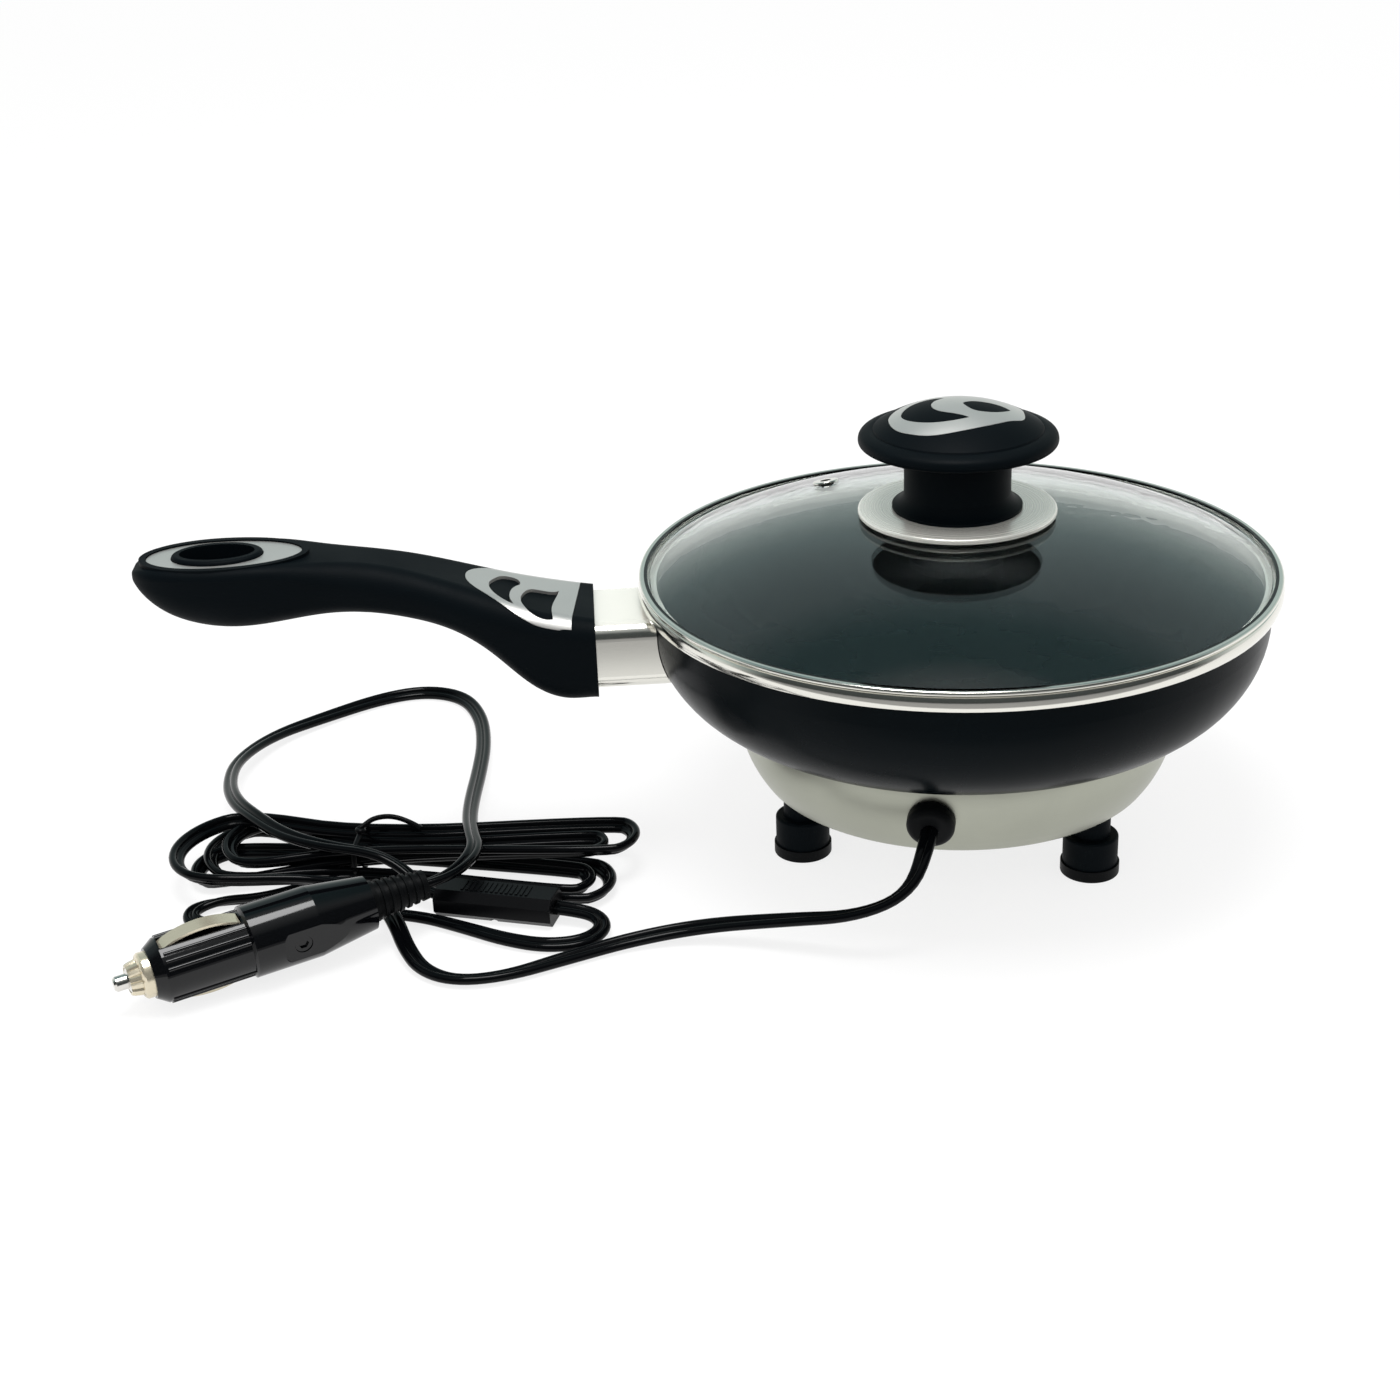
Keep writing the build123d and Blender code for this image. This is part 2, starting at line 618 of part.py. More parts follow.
# Feet: moulded posts screwed to the cup, each with a rubber tip
for number, point in enumerate(FOOT_POINTS, start=1):
    with BuildPart() as foot_post:
        with BuildSketch(Plane((point.X, point.Y, PAD_FLOOR))):
            Circle(POST_R)
        extrude(amount=POST_BODY_H)
        fillet(foot_post.faces().sort_by(Axis.Z)[-1].edges(), POST_R / 10)
        with BuildSketch(Plane((point.X, point.Y, PAD_FLOOR))):
            Circle(POST_NECK_R)
        extrude(amount=CUP_BOTTOM_Z - PAD_FLOOR)
        with BuildSketch(Plane((point.X, point.Y, CUP_BOTTOM_Z))):
            Circle(FOOT_SCREW_R + SLIP)
        extrude(amount=-FOOT_SCREW_L, mode=Mode.SUBTRACT)
    keep(foot_post, f"foot_post_{number}")
    with BuildPart() as foot_pad:
        with BuildSketch(Plane((point.X, point.Y, 0))):
            Circle(PAD_R)
        extrude(amount=PAD_H)
        fillet(foot_pad.faces().sort_by(Axis.Z)[0].edges(), PAD_H / 8)
        with BuildSketch(Plane((point.X, point.Y, PAD_FLOOR))):
            Circle(POST_R + SLIP)
        extrude(amount=PAD_H, mode=Mode.SUBTRACT)
    keep(foot_pad, f"foot_pad_{number}")

with BuildPart() as foot_screws:
    with BuildSketch(Plane.XY.offset(CUP_FLOOR_Z)):
        with Locations(*[(point.X, point.Y) for point in FOOT_POINTS]):
            Circle(2 * FOOT_SCREW_R)
    extrude(amount=FOOT_SCREW_R)
    with BuildSketch(Plane.XY.offset(CUP_FLOOR_Z)):
        with Locations(*[(point.X, point.Y) for point in FOOT_POINTS]):
            Circle(FOOT_SCREW_R)
    extrude(amount=-(FOOT_SCREW_L - 1.0))
keep(foot_screws, "foot_screws")

# Handle: a welded tongue inside a polished guard, and a moulded grip screwed to it from below
# Each station of the grip: distance behind its front, width, top and bottom from the guard's middle, corner radii
GRIP_STATIONS = [
    (0.0, 40.0, 12.4, -14.0, 6.0, 7.5),
    (9.0, 40.0, 14.2, -14.0, 6.5, 8.0),
    (20.0, 38.6, 17.2, -9.6, 7.5, 8.6),
    (32.0, 35.2, 21.2, 1.2, 8.0, 8.8),
    (44.0, 31.6, 25.3, 9.6, 7.6, 7.6),
    (56.0, 28.6, 29.0, 13.6, 7.4, 7.4),
    (69.0, 26.6, 31.8, 15.8, 7.2, 7.8),
    (82.0, 27.4, 33.4, 16.0, 6.0, 9.0),
    (95.0, 29.8, 34.5, 14.4, 3.6, 10.6),
    (109.0, 31.2, 34.7, 13.3, 3.0, 11.6),
    (122.0, 29.6, 34.7, 15.4, 3.0, 10.8),
    (131.0, 25.0, 34.4, 19.6, 2.8, 8.6),
    (137.0, 17.0, 33.4, 25.2, 2.4, 4.6),
    (139.6, 9.0, 32.2, 28.8, 1.2, 1.6),
]
GUARD_Z = PAN_RIM_Z - GUARD_DROP
GRIP_FRONT_X = -(PAN_R + GUARD_L)
HANDLE_SCREW_X = GRIP_FRONT_X - HANDLE_SCREW_BACK
HANG_X = GRIP_FRONT_X - HANG_BACK
BEZEL_TOP_Z = GUARD_Z + BEZEL_RISE


def grip_section(back, width, top, bottom, top_r, bottom_r):
    """Rounded section of the grip at one station."""
    centre = (GRIP_FRONT_X - back, 0, GUARD_Z + (top + bottom) / 2)
    with BuildSketch(Plane(origin=centre, x_dir=(0, 1, 0), z_dir=(1, 0, 0))) as section:
        Rectangle(width, top - bottom)
        fillet(section.vertices().group_by(Axis.Y)[-1], top_r)
        fillet(section.vertices().group_by(Axis.Y)[0], bottom_r)
    return section.sketch


with BuildPart() as grip_blank:
    loft([grip_section(*station) for station in GRIP_STATIONS])


def guard_block(grow, length):
    """Rounded bar from inside the grip's mouth towards the pan's axis."""
    with BuildPart() as block:
        mouth = Plane(origin=(GRIP_FRONT_X - GUARD_INSERT - grow, 0, GUARD_Z), x_dir=(0, 1, 0), z_dir=(1, 0, 0))
        with BuildSketch(mouth):
            RectangleRounded(GUARD_W + 2 * grow, GUARD_H + 2 * grow, GUARD_CORNER_R + grow)
        extrude(amount=length)
    return block.part


def tongue_block(grow):
    """Square bar from inside the grip to the pan's wall."""
    with BuildPart() as block:
        end = Plane(origin=(GRIP_FRONT_X - TONGUE_L - grow, 0, GUARD_Z), x_dir=(0, 1, 0), z_dir=(1, 0, 0))
        with BuildSketch(end):
            Rectangle(TONGUE_W + 2 * grow, TONGUE_H + 2 * grow)
        extrude(amount=TONGUE_L - GRIP_FRONT_X - PAN_FLAT_R)
    return block.part


GUARD_REACH = GUARD_INSERT - GRIP_FRONT_X - PAN_FLAT_R

with BuildPart() as flame_guard:
    add(guard_block(0, GUARD_REACH))
    add(guard_block(-GUARD_WALL, 2 * GUARD_REACH).moved(Location((-GUARD_WALL, 0, 0))), mode=Mode.SUBTRACT)
    add(pan_clearance.part, mode=Mode.SUBTRACT)
keep(flame_guard, "flame_guard")

with BuildPart() as handle_tongue:
    add(tongue_block(0))
    add(pan_clearance.part, mode=Mode.SUBTRACT)
    with BuildSketch(Plane((HANDLE_SCREW_X, 0, GUARD_Z))):
        Circle(SCREW_R + SLIP)
    extrude(amount=TONGUE_H, both=True, mode=Mode.SUBTRACT)
keep(handle_tongue, "handle_tongue")

# Plan of the front inlay from the grip's front: half of its outline, and two windows that come to points
LEAF_TIP = 39.1
LEAF_SIDE = [
    (37.9, 5.1), (34.6, 9.2), (29.3, 13.1), (24.2, 16.2), (19.1, 18.1), (14.6, 18.8), (10.7, 19.0),
]
LEAF_NEAR_END = (7.2, 18.9)
LEAF_FAR_END = (3.6, 18.9)
LEAF_REAR_WINDOW = [
    [(24.3, -13.0), (28.0, -11.2), (31.1, -6.8), (31.9, -0.9), (30.3, 3.7), (27.8, 7.2), (25.1, 7.9), (22.7, 3.4)],
    [(22.7, 3.4), (24.3, 0.5), (25.6, -5.3), (25.3, -10.5), (24.3, -13.0)],
]
LEAF_FRONT_WINDOW = [
    [
        (12.5, -16.8), (15.1, -17.1), (19.0, -15.7), (21.2, -13.1), (22.3, -6.9), (21.3, -1.9), (19.1, 1.8),
        (15.1, 2.5), (10.7, 4.9),
    ],
    [(10.7, 4.9), (11.4, 0.0), (12.7, -7.8), (12.9, -13.2), (12.5, -16.8)],
]


def leaf(grow, windows):
    """Plan of the front inlay: a leaf that widens to a slanted end, with two windows."""
    far = [(back, across) for back, across in LEAF_SIDE + [LEAF_FAR_END]]
    near = [(back, -across) for back, across in LEAF_SIDE + [LEAF_NEAR_END]]
    ring = [(LEAF_TIP, 0)] + far + near[::-1]
    ring = [(GRIP_FRONT_X - back, across) for back, across in moved_out(ring, grow)]
    corner = len(far)
    with BuildSketch(Plane.XY.offset(GUARD_Z)) as plan:
        with BuildLine():
            far_edge = Spline(*ring[: corner + 1], tangents=[(0, 1), (1, 0)])
            near_edge = Spline(ring[0], *ring[:corner:-1], tangents=[(0, -1), (1, 0)])
            Line(far_edge @ 1, near_edge @ 1)
        make_face()
        if windows:
            for runs in (LEAF_REAR_WINDOW, LEAF_FRONT_WINDOW):
                placed = [[(GRIP_FRONT_X - back, across) for back, across in run] for run in runs]
                add(window_plan(placed, 0), mode=Mode.SUBTRACT)
    return plan.sketch


def grip_layer(plan, depth):
    """What a plan cuts out of the grip's upper face, down to a depth."""
    with BuildPart() as layer:
        add(plan)
        extrude(amount=BEZEL_TOP_Z - GUARD_Z)
        add(grip_blank.part, mode=Mode.INTERSECT)
        add(grip_blank.part.moved(Location((0, 0, -depth))), mode=Mode.SUBTRACT)
    return layer.part


with BuildPart() as handle_front_inlay:
    add(grip_layer(leaf(0, True), INLAY_T))
keep(handle_front_inlay, "handle_front_inlay")


def bezel_plan(grow):
    """Oval of the rear bezel, rounder at the tail than towards the pan."""
    with BuildSketch(Plane.XY.offset(BEZEL_TOP_Z - INLAY_T - GAP)) as plan:
        with BuildLine():
            EllipticalCenterArc((HANG_X, 0), BEZEL_FRONT + grow, BEZEL_W / 2 + grow, start_angle=-90, arc_size=180)
            EllipticalCenterArc((HANG_X, 0), BEZEL_REAR + grow, BEZEL_W / 2 + grow, start_angle=90, arc_size=180)
        make_face()
    return plan.sketch


BEZEL_LOW_Z = BEZEL_TOP_Z - INLAY_T - GAP

with BuildPart() as handle_rear_bezel:
    add(bezel_plan(0))
    extrude(amount=INLAY_T + GAP)
    with BuildSketch(Plane.XY.offset(BEZEL_LOW_Z)):
        with Locations((HANG_X, 0)):
            Ellipse(HANG_L / 2 + HANG_RING + SLIP, HANG_W / 2 + HANG_RING + SLIP)
    extrude(amount=2 * INLAY_T, mode=Mode.SUBTRACT)
keep(handle_rear_bezel, "handle_rear_bezel")

with BuildPart() as handle_grip:
    add(grip_blank.part)
    add(bezel_plan(COLLAR_W))
    extrude(amount=BEZEL_TOP_Z - BEZEL_LOW_Z + COLLAR_H)
    add(grip_layer(leaf(SLIP, False), INLAY_T + 0.02), mode=Mode.SUBTRACT)
    add(bezel_plan(SLIP))
    extrude(amount=4 * INLAY_T, mode=Mode.SUBTRACT)
    with BuildSketch(Plane.XY.offset(BEZEL_LOW_Z - INLAY_T)):
        with Locations((HANG_X, 0)):
            Ellipse(HANG_L / 2 + HANG_RING, HANG_W / 2 + HANG_RING)
    extrude(amount=BEZEL_TOP_Z - BEZEL_LOW_Z + INLAY_T + HANG_RING_H)
    fillet(handle_grip.faces().sort_by(Axis.Z)[-1].edges(), 0.45 * HANG_RING)
    with BuildSketch(Plane.XY.offset(GUARD_Z)):
        with Locations((HANG_X, 0)):
            Ellipse(HANG_L / 2, HANG_W / 2)
    extrude(amount=2 * (BEZEL_TOP_Z - GUARD_Z), mode=Mode.SUBTRACT)
    add(guard_block(SLIP, 2 * GUARD_INSERT), mode=Mode.SUBTRACT)
    add(tongue_block(SLIP), mode=Mode.SUBTRACT)
    with BuildSketch(Plane((HANDLE_SCREW_X, 0, GUARD_Z))):
        Circle(SCREW_R + SLIP)
    extrude(amount=-GUARD_H, mode=Mode.SUBTRACT)
    with BuildSketch(Plane((HANDLE_SCREW_X, 0, GUARD_Z - TONGUE_H / 2 - SCREW_HEAD_H))):
        Circle(SCREW_HEAD_R + SLIP)
    extrude(amount=-GUARD_H, mode=Mode.SUBTRACT)
keep(handle_grip, "handle_grip")

with BuildPart() as handle_screw:
    with BuildSketch(Plane((HANDLE_SCREW_X, 0, GUARD_Z - TONGUE_H / 2 - SCREW_HEAD_H))):
        Circle(SCREW_HEAD_R)
    extrude(amount=-SCREW_HEAD_H)
    with BuildSketch(Plane((HANDLE_SCREW_X, 0, GUARD_Z - TONGUE_H / 2 - SCREW_HEAD_H))):
        Circle(SCREW_R)
    extrude(amount=TONGUE_H + SCREW_HEAD_H)
keep(handle_screw, "handle_screw")

# Lead: rubber grommet, a run over the table, a tied hank, an in-line fuse case and a loop to the plug
GROMMET_FACE = GROMMET_AT + GROMMET_OUTWARD * GROMMET_OUT
GROMMET_INNER = GROMMET_AT - GROMMET_OUTWARD * (CUP_WALL + 2.0)
CORD_R = CORD_D / 2

with BuildPart() as cord_grommet:
    with BuildSketch(GROMMET_PLANE.offset(SLIP)):
        Circle(GROMMET_R)
    extrude(amount=GROMMET_OUT - SLIP)
    outward = Axis(GROMMET_AT, GROMMET_OUTWARD)
    fillet(cord_grommet.faces().sort_by(outward)[-1].edges(), GROMMET_R / 3)
    with BuildSketch(GROMMET_PLANE.offset(SLIP)):
        Circle(GROMMET_NECK_R)
    extrude(amount=-(CUP_WALL + 2 * GAP + SLIP))
    with BuildSketch(GROMMET_PLANE.offset(-CUP_WALL - 2 * GAP)):
        Circle(GROMMET_R - 1.0)
    extrude(amount=-(2.0 - 2 * GAP))
    with BuildSketch(GROMMET_PLANE.offset(GROMMET_OUT - GROMMET_BORE)):
        Circle(CORD_R + SLIP)
    extrude(amount=2 * GROMMET_BORE, mode=Mode.SUBTRACT)
keep(cord_grommet, "cord_grommet")


def bend_radii(points):
    """Largest even bend at each corner of a route: 0.45 of its shorter run over the half turn's tangent."""
    radii = []
    for before, corner, after in zip(points, points[1:], points[2:]):
        run_in = Vector(corner) - Vector(before)
        run_out = Vector(after) - Vector(corner)
        half_turn = math.radians(run_in.get_angle(run_out)) / 2
        radii.append(0.45 * min(run_in.length, run_out.length) / math.tan(half_turn))
    return radii


def cord_tube(name, points):
    """Round tube along a route, with its least bend and its volume against section times length printed."""
    radii = bend_radii(points)
    with BuildPart() as tube:
        with BuildLine() as route:
            FilletPolyline(*points, radius=radii)
        path = route.wires()[0]
        with BuildSketch(Plane(origin=path @ 0, z_dir=path % 0)):
            Circle(CORD_R)
        sweep(path=path)
    length = path.length
    fill = tube.part.volume / (math.pi * CORD_R**2 * length)
    print(f"{name}: length {length:.1f}, radii {[round(radius, 1) for radius in radii]}, fill {fill:.4f}")
    return tube


# Hank: four loops wound the same way, two to a layer, spiralling in on top and out again below
HANK_WAIST = Vector(-193.0, -9.0, 0)
HANK_AXIS = Vector(0.982, -0.1885, 0).normalized()
HANK_ACROSS = Vector(0, 0, 1).cross(HANK_AXIS)
HANK_LEFT = -35.6
HANK_RIGHT = 75.8
HANK_LOW_Z = 3.0
HANK_LAYER = 4.8
LANES_LEFT = (12.0, 6.6)
LANES_WAIST = (2.6, 5.2)
LANES_RIGHT = (4.8, 4.8)
NEAR_LANES = (2, 1, 0, 1, 2)
FAR_LANES = (1, 0, 0, 1)
HANK_ENTRY = (-12.0, -20.0)


def hank_point(along, across, z):
    """Point of the hank, from its tied waist."""
    return HANK_WAIST + HANK_AXIS * along + HANK_ACROSS * across + Vector(0, 0, z)


def lane(spacing, index):
    """Distance of a lane from the hank's middle line."""
    return spacing[0] + spacing[1] * index


def hank_stations(entry_heading):
    """Points and headings that the hank's loops pass through, in order."""
    high_z = HANK_LOW_Z + HANK_LAYER
    mid_z = HANK_LOW_Z + HANK_LAYER / 2
    loop_z = (high_z, high_z, HANK_LOW_Z, HANK_LOW_Z)
    waist_z = (high_z, high_z, mid_z, HANK_LOW_Z, HANK_LOW_Z)
    back = -HANK_AXIS
    stations = [(hank_point(*HANK_ENTRY, high_z), entry_heading)]
    for loop, z in enumerate(loop_z):
        near, far, next_near = NEAR_LANES[loop], FAR_LANES[loop], NEAR_LANES[loop + 1]
        stations += [
            (hank_point(HANK_LEFT, -lane(LANES_LEFT, near), z), back),
            (hank_point(HANK_LEFT, lane(LANES_LEFT, far), z), HANK_AXIS),
            (hank_point(0, lane(LANES_WAIST, far), z), HANK_AXIS),
            (hank_point(HANK_RIGHT, lane(LANES_RIGHT, far), z), HANK_AXIS),
            (hank_point(HANK_RIGHT, -lane(LANES_RIGHT, next_near), z), back),
            (hank_point(0, -lane(LANES_WAIST, next_near), waist_z[loop + 1]), back),
        ]
    return stations


def biarc_joint(start, start_heading, end, end_heading):
    """Point where two tangent arcs of a biarc meet."""
    chord = end - start
    headings = start_heading + end_heading
    spread = 2 * (1 - start_heading.dot(end_heading))
    along = chord.dot(headings)
    if spread < 1e-9:
        reach = chord.dot(chord) / (4 * chord.dot(end_heading))
    else:
        reach = (-along + math.sqrt(along**2 + spread * chord.dot(chord))) / spread
    return (start + start_heading * reach + end - end_heading * reach) * 0.5


def least_self_gap(line, diameter, step, skip):
    """Least gap of a tube to itself, on points a step apart and at least a skip away along it."""
    count = int(line.length / step)
    points = [line @ (index / count) for index in range(count + 1)]
    spare = int(skip / step)
    least = min(
        (first - second).length
        for index, first in enumerate(points)
        for second in points[index + spare:]
    )
    return least - diameter


# Routes of the free stretches, chosen point by point
GROMMET_SEAT = GROMMET_FACE - GROMMET_OUTWARD * GROMMET_BORE
HANK_START = hank_point(*HANK_ENTRY, HANK_LOW_Z + HANK_LAYER)
HANK_END = hank_point(0, -lane(LANES_WAIST, NEAR_LANES[-1]), HANK_LOW_Z)
CASE_CENTRE = Vector(-149.0, -43.0, 0)
CASE_AXIS = Vector(0.952, -0.308, 0).normalized()
CASE_SPLIT_Z = CASE_H / 2
CASE_RIGHT = CASE_CENTRE + CASE_AXIS * (CASE_L / 2 - CASE_ENTRY) + Vector(0, 0, CASE_SPLIT_Z)
CASE_LEFT = CASE_CENTRE - CASE_AXIS * (CASE_L / 2 - CASE_ENTRY) + Vector(0, 0, CASE_SPLIT_Z)
PLUG_AXIS = (PLUG_END - PLUG_TIP).normalized()
PLUG_L = (PLUG_END - PLUG_TIP).length

RUN_POINTS = [
    GROMMET_SEAT,
    GROMMET_FACE + GROMMET_OUTWARD * 4.0,
    GROMMET_FACE + Vector(-7.5, -12.8, -13.1),
    (-42.0, -83.0, 15.0),
    (-63.0, -73.5, 9.8),
    (-86.0, -66.0, 5.6),
    (-108.0, -66.5, 2.9),
    (-129.0, -75.0, 2.2),
    (-146.0, -82.5, 2.2),
    (-160.5, -83.5, 2.2),
    (-170.5, -76.5, 2.6),
    (-175.8, -65.5, 3.6),
    (-179.5, -53.0, 5.3),
    (-184.5, -41.5, 7.2),
    (-193.0, -32.0, 7.9),
    HANK_START,
]
LINK_POINTS = [
    HANK_END,
    hank_point(-6.0, -lane(LANES_WAIST, NEAR_LANES[-1]), HANK_LOW_Z),
    hank_point(-15.0, -17.6, 2.9),
    hank_point(-27.0, -24.4, 2.7),
    (-236.0, -27.0, 2.4),
    (-244.6, -31.0, 2.2),
    (-244.6, -38.4, 2.2),
    (-237.0, -42.6, 2.2),
    (-222.0, -42.2, 2.2),
    (-205.0, -40.6, 2.2),
    (-188.0, -40.2, 2.2),
    (-172.5, -44.6, 2.2),
    (-159.0, -53.0, 2.2),
    (-146.5, -61.5, 2.2),
    (-134.0, -66.8, 2.2),
    (-122.6, -66.0, 2.4),
    (-116.4, -60.0, 3.0),
    (-118.2, -53.6, 4.0),
    CASE_RIGHT + CASE_AXIS * 6.0,
    CASE_RIGHT,
]
LOOP_POINTS = [
    CASE_LEFT,
    CASE_LEFT - CASE_AXIS * 6.0,
    (-178.5, -27.5, 10.2),
    (-188.5, -22.4, 13.2),
    (-204.0, -17.0, 13.6),
    (-218.0, -8.0, 13.8),
    (-229.0, 6.0, 14.0),
    (-237.5, 22.0, 12.2),
    (-242.6, 42.0, 5.4),
    (-243.4, 66.0, 2.2),
    (-234.0, 90.0, 2.2),
    (-216.0, 107.0, 2.2),
    (-197.0, 121.0, 2.2),
    (-180.0, 126.4, 2.2),
    (-165.5, 118.0, 2.2),
    (-158.6, 99.0, 2.2),
    (-156.6, 73.0, 2.2),
    (-157.4, 46.0, 2.4),
    (-158.6, 22.0, 5.4),
    (-158.8, 2.0, 10.6),
    (-157.4, -14.0, 13.4),
    (-155.4, -26.0, 15.2),
    (-158.2, -37.6, 16.0),
    PLUG_END + PLUG_AXIS * 6.0,
    PLUG_END - PLUG_AXIS * 2.0,
]

cord_run = cord_tube("cord_run", RUN_POINTS)
keep(cord_run, "cord_run")
cord_link = cord_tube("cord_link", LINK_POINTS)
keep(cord_link, "cord_link")
cord_loop = cord_tube("cord_loop", LOOP_POINTS)
keep(cord_loop, "cord_loop")

with BuildPart() as cord_hank:
    run_heading = (HANK_START - Vector(RUN_POINTS[-2])).normalized()
    stations = hank_stations(run_heading)
    with BuildLine() as hank_route:
        for (start, start_heading), (end, end_heading) in zip(stations, stations[1:]):
            joint = biarc_joint(start, start_heading, end, end_heading)
            TangentArc(start, joint, tangent=start_heading)
            TangentArc(end, joint, tangent=-end_heading)
    hank_line = Wire(hank_route.edges())
    with BuildSketch(Plane(origin=stations[0][0], z_dir=run_heading)):
        Circle(CORD_R)
    sweep(path=hank_line)
keep(cord_hank, "cord_hank")
hank_gap = least_self_gap(hank_line, CORD_D, 2.0, 4 * CORD_D)
print(f"cord_hank: length {hank_line.length:.1f}, least gap to itself {hank_gap:.2f}")

# Tie: a bent wire strip round the hank's waist
TIE_IN_W = 2 * lane(LANES_WAIST, 2) + CORD_D + 2 * GAP
TIE_IN_H = HANK_LAYER + CORD_D + 2 * GAP
TIE_MID_Z = HANK_LOW_Z + HANK_LAYER / 2

with BuildPart() as cord_tie:
    tie_plane = Plane(
        origin=HANK_WAIST + Vector(0, 0, TIE_MID_Z) - HANK_AXIS * (TIE_W / 2), x_dir=HANK_ACROSS, z_dir=HANK_AXIS
    )
    with BuildSketch(tie_plane):
        RectangleRounded(TIE_IN_W + 2 * TIE_T, TIE_IN_H + 2 * TIE_T, CORD_R + TIE_T)
        RectangleRounded(TIE_IN_W, TIE_IN_H, CORD_R, mode=Mode.SUBTRACT)
    extrude(amount=TIE_W)
keep(cord_tie, "cord_tie")

# In-line case: two halves round a fuse in its clips, closed by two screws from below
CASE_SCREW_R = 1.0
CASE_SCREW_LOW = 1.4


def case_plane(z):
    """Level plane on the case's own axes."""
    return Plane(origin=CASE_CENTRE + Vector(0, 0, z), x_dir=CASE_AXIS, z_dir=(0, 0, 1))


def case_block():
    """Chamfered block of the closed case, with its fuse pocket and its two lead holes."""
    with BuildPart() as block:
        with BuildSketch(case_plane(0)):
            Rectangle(CASE_L, CASE_W)
        extrude(amount=CASE_H)
        chamfer(block.edges().filter_by(lambda edge: abs((edge % 0.5).dot(CASE_AXIS)) > 0.99), CASE_CHAMFER)
        fillet(block.faces().sort_by(Axis(CASE_CENTRE, CASE_AXIS))[0].edges(), CASE_WALL / 4)
        fillet(block.faces().sort_by(Axis(CASE_CENTRE, CASE_AXIS))[-1].edges(), CASE_WALL / 4)
        with BuildSketch(case_plane(CASE_WALL)):
            Rectangle(CASE_FUSE_L + 2 * CASE_WALL, CASE_W - 4 * CASE_WALL)
        extrude(amount=CASE_H - 2 * CASE_WALL, mode=Mode.SUBTRACT)
        ends = Plane(origin=CASE_CENTRE + Vector(0, 0, CASE_SPLIT_Z), z_dir=CASE_AXIS)
        for side in (1, -1):
            with BuildSketch(ends.offset(side * CASE_L / 2)):
                Circle(CORD_R + SLIP)
            extrude(amount=-side * CASE_ENTRY, mode=Mode.SUBTRACT)
    return block.part


with BuildPart() as case_upper:
    add(case_block())
    split(bisect_by=case_plane(CASE_SPLIT_Z), keep=Keep.TOP)
    with BuildSketch(case_plane(CASE_H)):
        with GridLocations(1.6, 0, 14, 1):
            Rectangle(0.8, CASE_W - 2 * CASE_CHAMFER - 2.0)
    extrude(amount=GAP)
    with BuildSketch(case_plane(CASE_SPLIT_Z)):
        with GridLocations(0, CASE_W - 4.6, 1, 2):
            Circle(CASE_SCREW_R + SLIP)
    extrude(amount=CASE_SPLIT_Z - CASE_WALL, mode=Mode.SUBTRACT)
keep(case_upper, "case_upper")

with BuildPart() as case_lower:
    add(case_block())
    split(bisect_by=case_plane(CASE_SPLIT_Z), keep=Keep.BOTTOM)
    with BuildSketch(case_plane(0)):
        with GridLocations(0, CASE_W - 4.6, 1, 2):
            Circle(CASE_SCREW_R + SLIP)
    extrude(amount=CASE_SPLIT_Z, mode=Mode.SUBTRACT)
keep(case_lower, "case_lower")

with BuildPart() as case_screws:
    with BuildSketch(case_plane(CASE_SCREW_LOW)):
        with GridLocations(0, CASE_W - 4.6, 1, 2):
            Circle(CASE_SCREW_R)
    extrude(amount=CASE_H - CASE_WALL - CASE_SCREW_LOW - GAP)
keep(case_screws, "case_screws")

FUSE_PLANE = Plane(origin=CASE_CENTRE + Vector(0, 0, CASE_SPLIT_Z), z_dir=CASE_AXIS)

with BuildPart() as case_fuse:
    with BuildSketch(FUSE_PLANE.offset(-CASE_FUSE_L / 2)):
        Circle(CASE_FUSE_R)
    extrude(amount=CASE_FUSE_L)
keep(case_fuse, "case_fuse")

with BuildPart() as case_clips:
    with BuildSketch(case_plane(CASE_WALL)):
        with GridLocations(CASE_FUSE_L - 5.0, 0, 2, 1):
            Rectangle(4.0, CASE_W - 4 * CASE_WALL - 2 * SLIP)
    extrude(amount=CASE_SPLIT_Z - CASE_WALL)
    with BuildSketch(FUSE_PLANE.offset(-CASE_FUSE_L / 2)):
        Circle(CASE_FUSE_R + SLIP)
    extrude(amount=CASE_FUSE_L, mode=Mode.SUBTRACT)
keep(case_clips, "case_clips")

# Plug: a split barrel round a sprung pin and its fuse, two leaf contacts, and a ribbed strain relief
LEVEL_ACROSS = PLUG_AXIS.cross(Vector(0, 0, 1)).normalized()
PLUG_PANEL_TILT = 6.0
PLUG_PANEL_OUT = LEVEL_ACROSS.rotate(Axis((0, 0, 0), PLUG_AXIS), PLUG_PANEL_TILT)
PLUG_CONTACT_OUT = PLUG_PANEL_OUT.cross(PLUG_AXIS).normalized()
PLUG_TURN = Axis(PLUG_TIP, PLUG_AXIS)
PLUG_SIDE = Plane(origin=PLUG_TIP, x_dir=PLUG_AXIS, z_dir=PLUG_AXIS.cross(PLUG_CONTACT_OUT))
PIN_REAR_S = PLUG_FRONT_S + 4.4
FUSE_REAR_S = PIN_REAR_S + PLUG_FUSE_L
SPRING_REAR_S = FUSE_REAR_S + PLUG_SPRING_L
BORE_END_S = SPRING_REAR_S + PIN_TRAVEL + GAP


def plug_plane(s):
    """Plane square to the plug's axis at a distance from its tip."""
    return Plane(origin=PLUG_TIP + PLUG_AXIS * s, x_dir=PLUG_PANEL_OUT, z_dir=PLUG_AXIS)


def plug_rod(radius, start_s, end_s):
    """Round bar on the plug's axis."""
    with BuildPart() as rod:
        with BuildSketch(plug_plane(start_s)):
            Circle(radius)
        extrude(amount=end_s - start_s)
    return rod


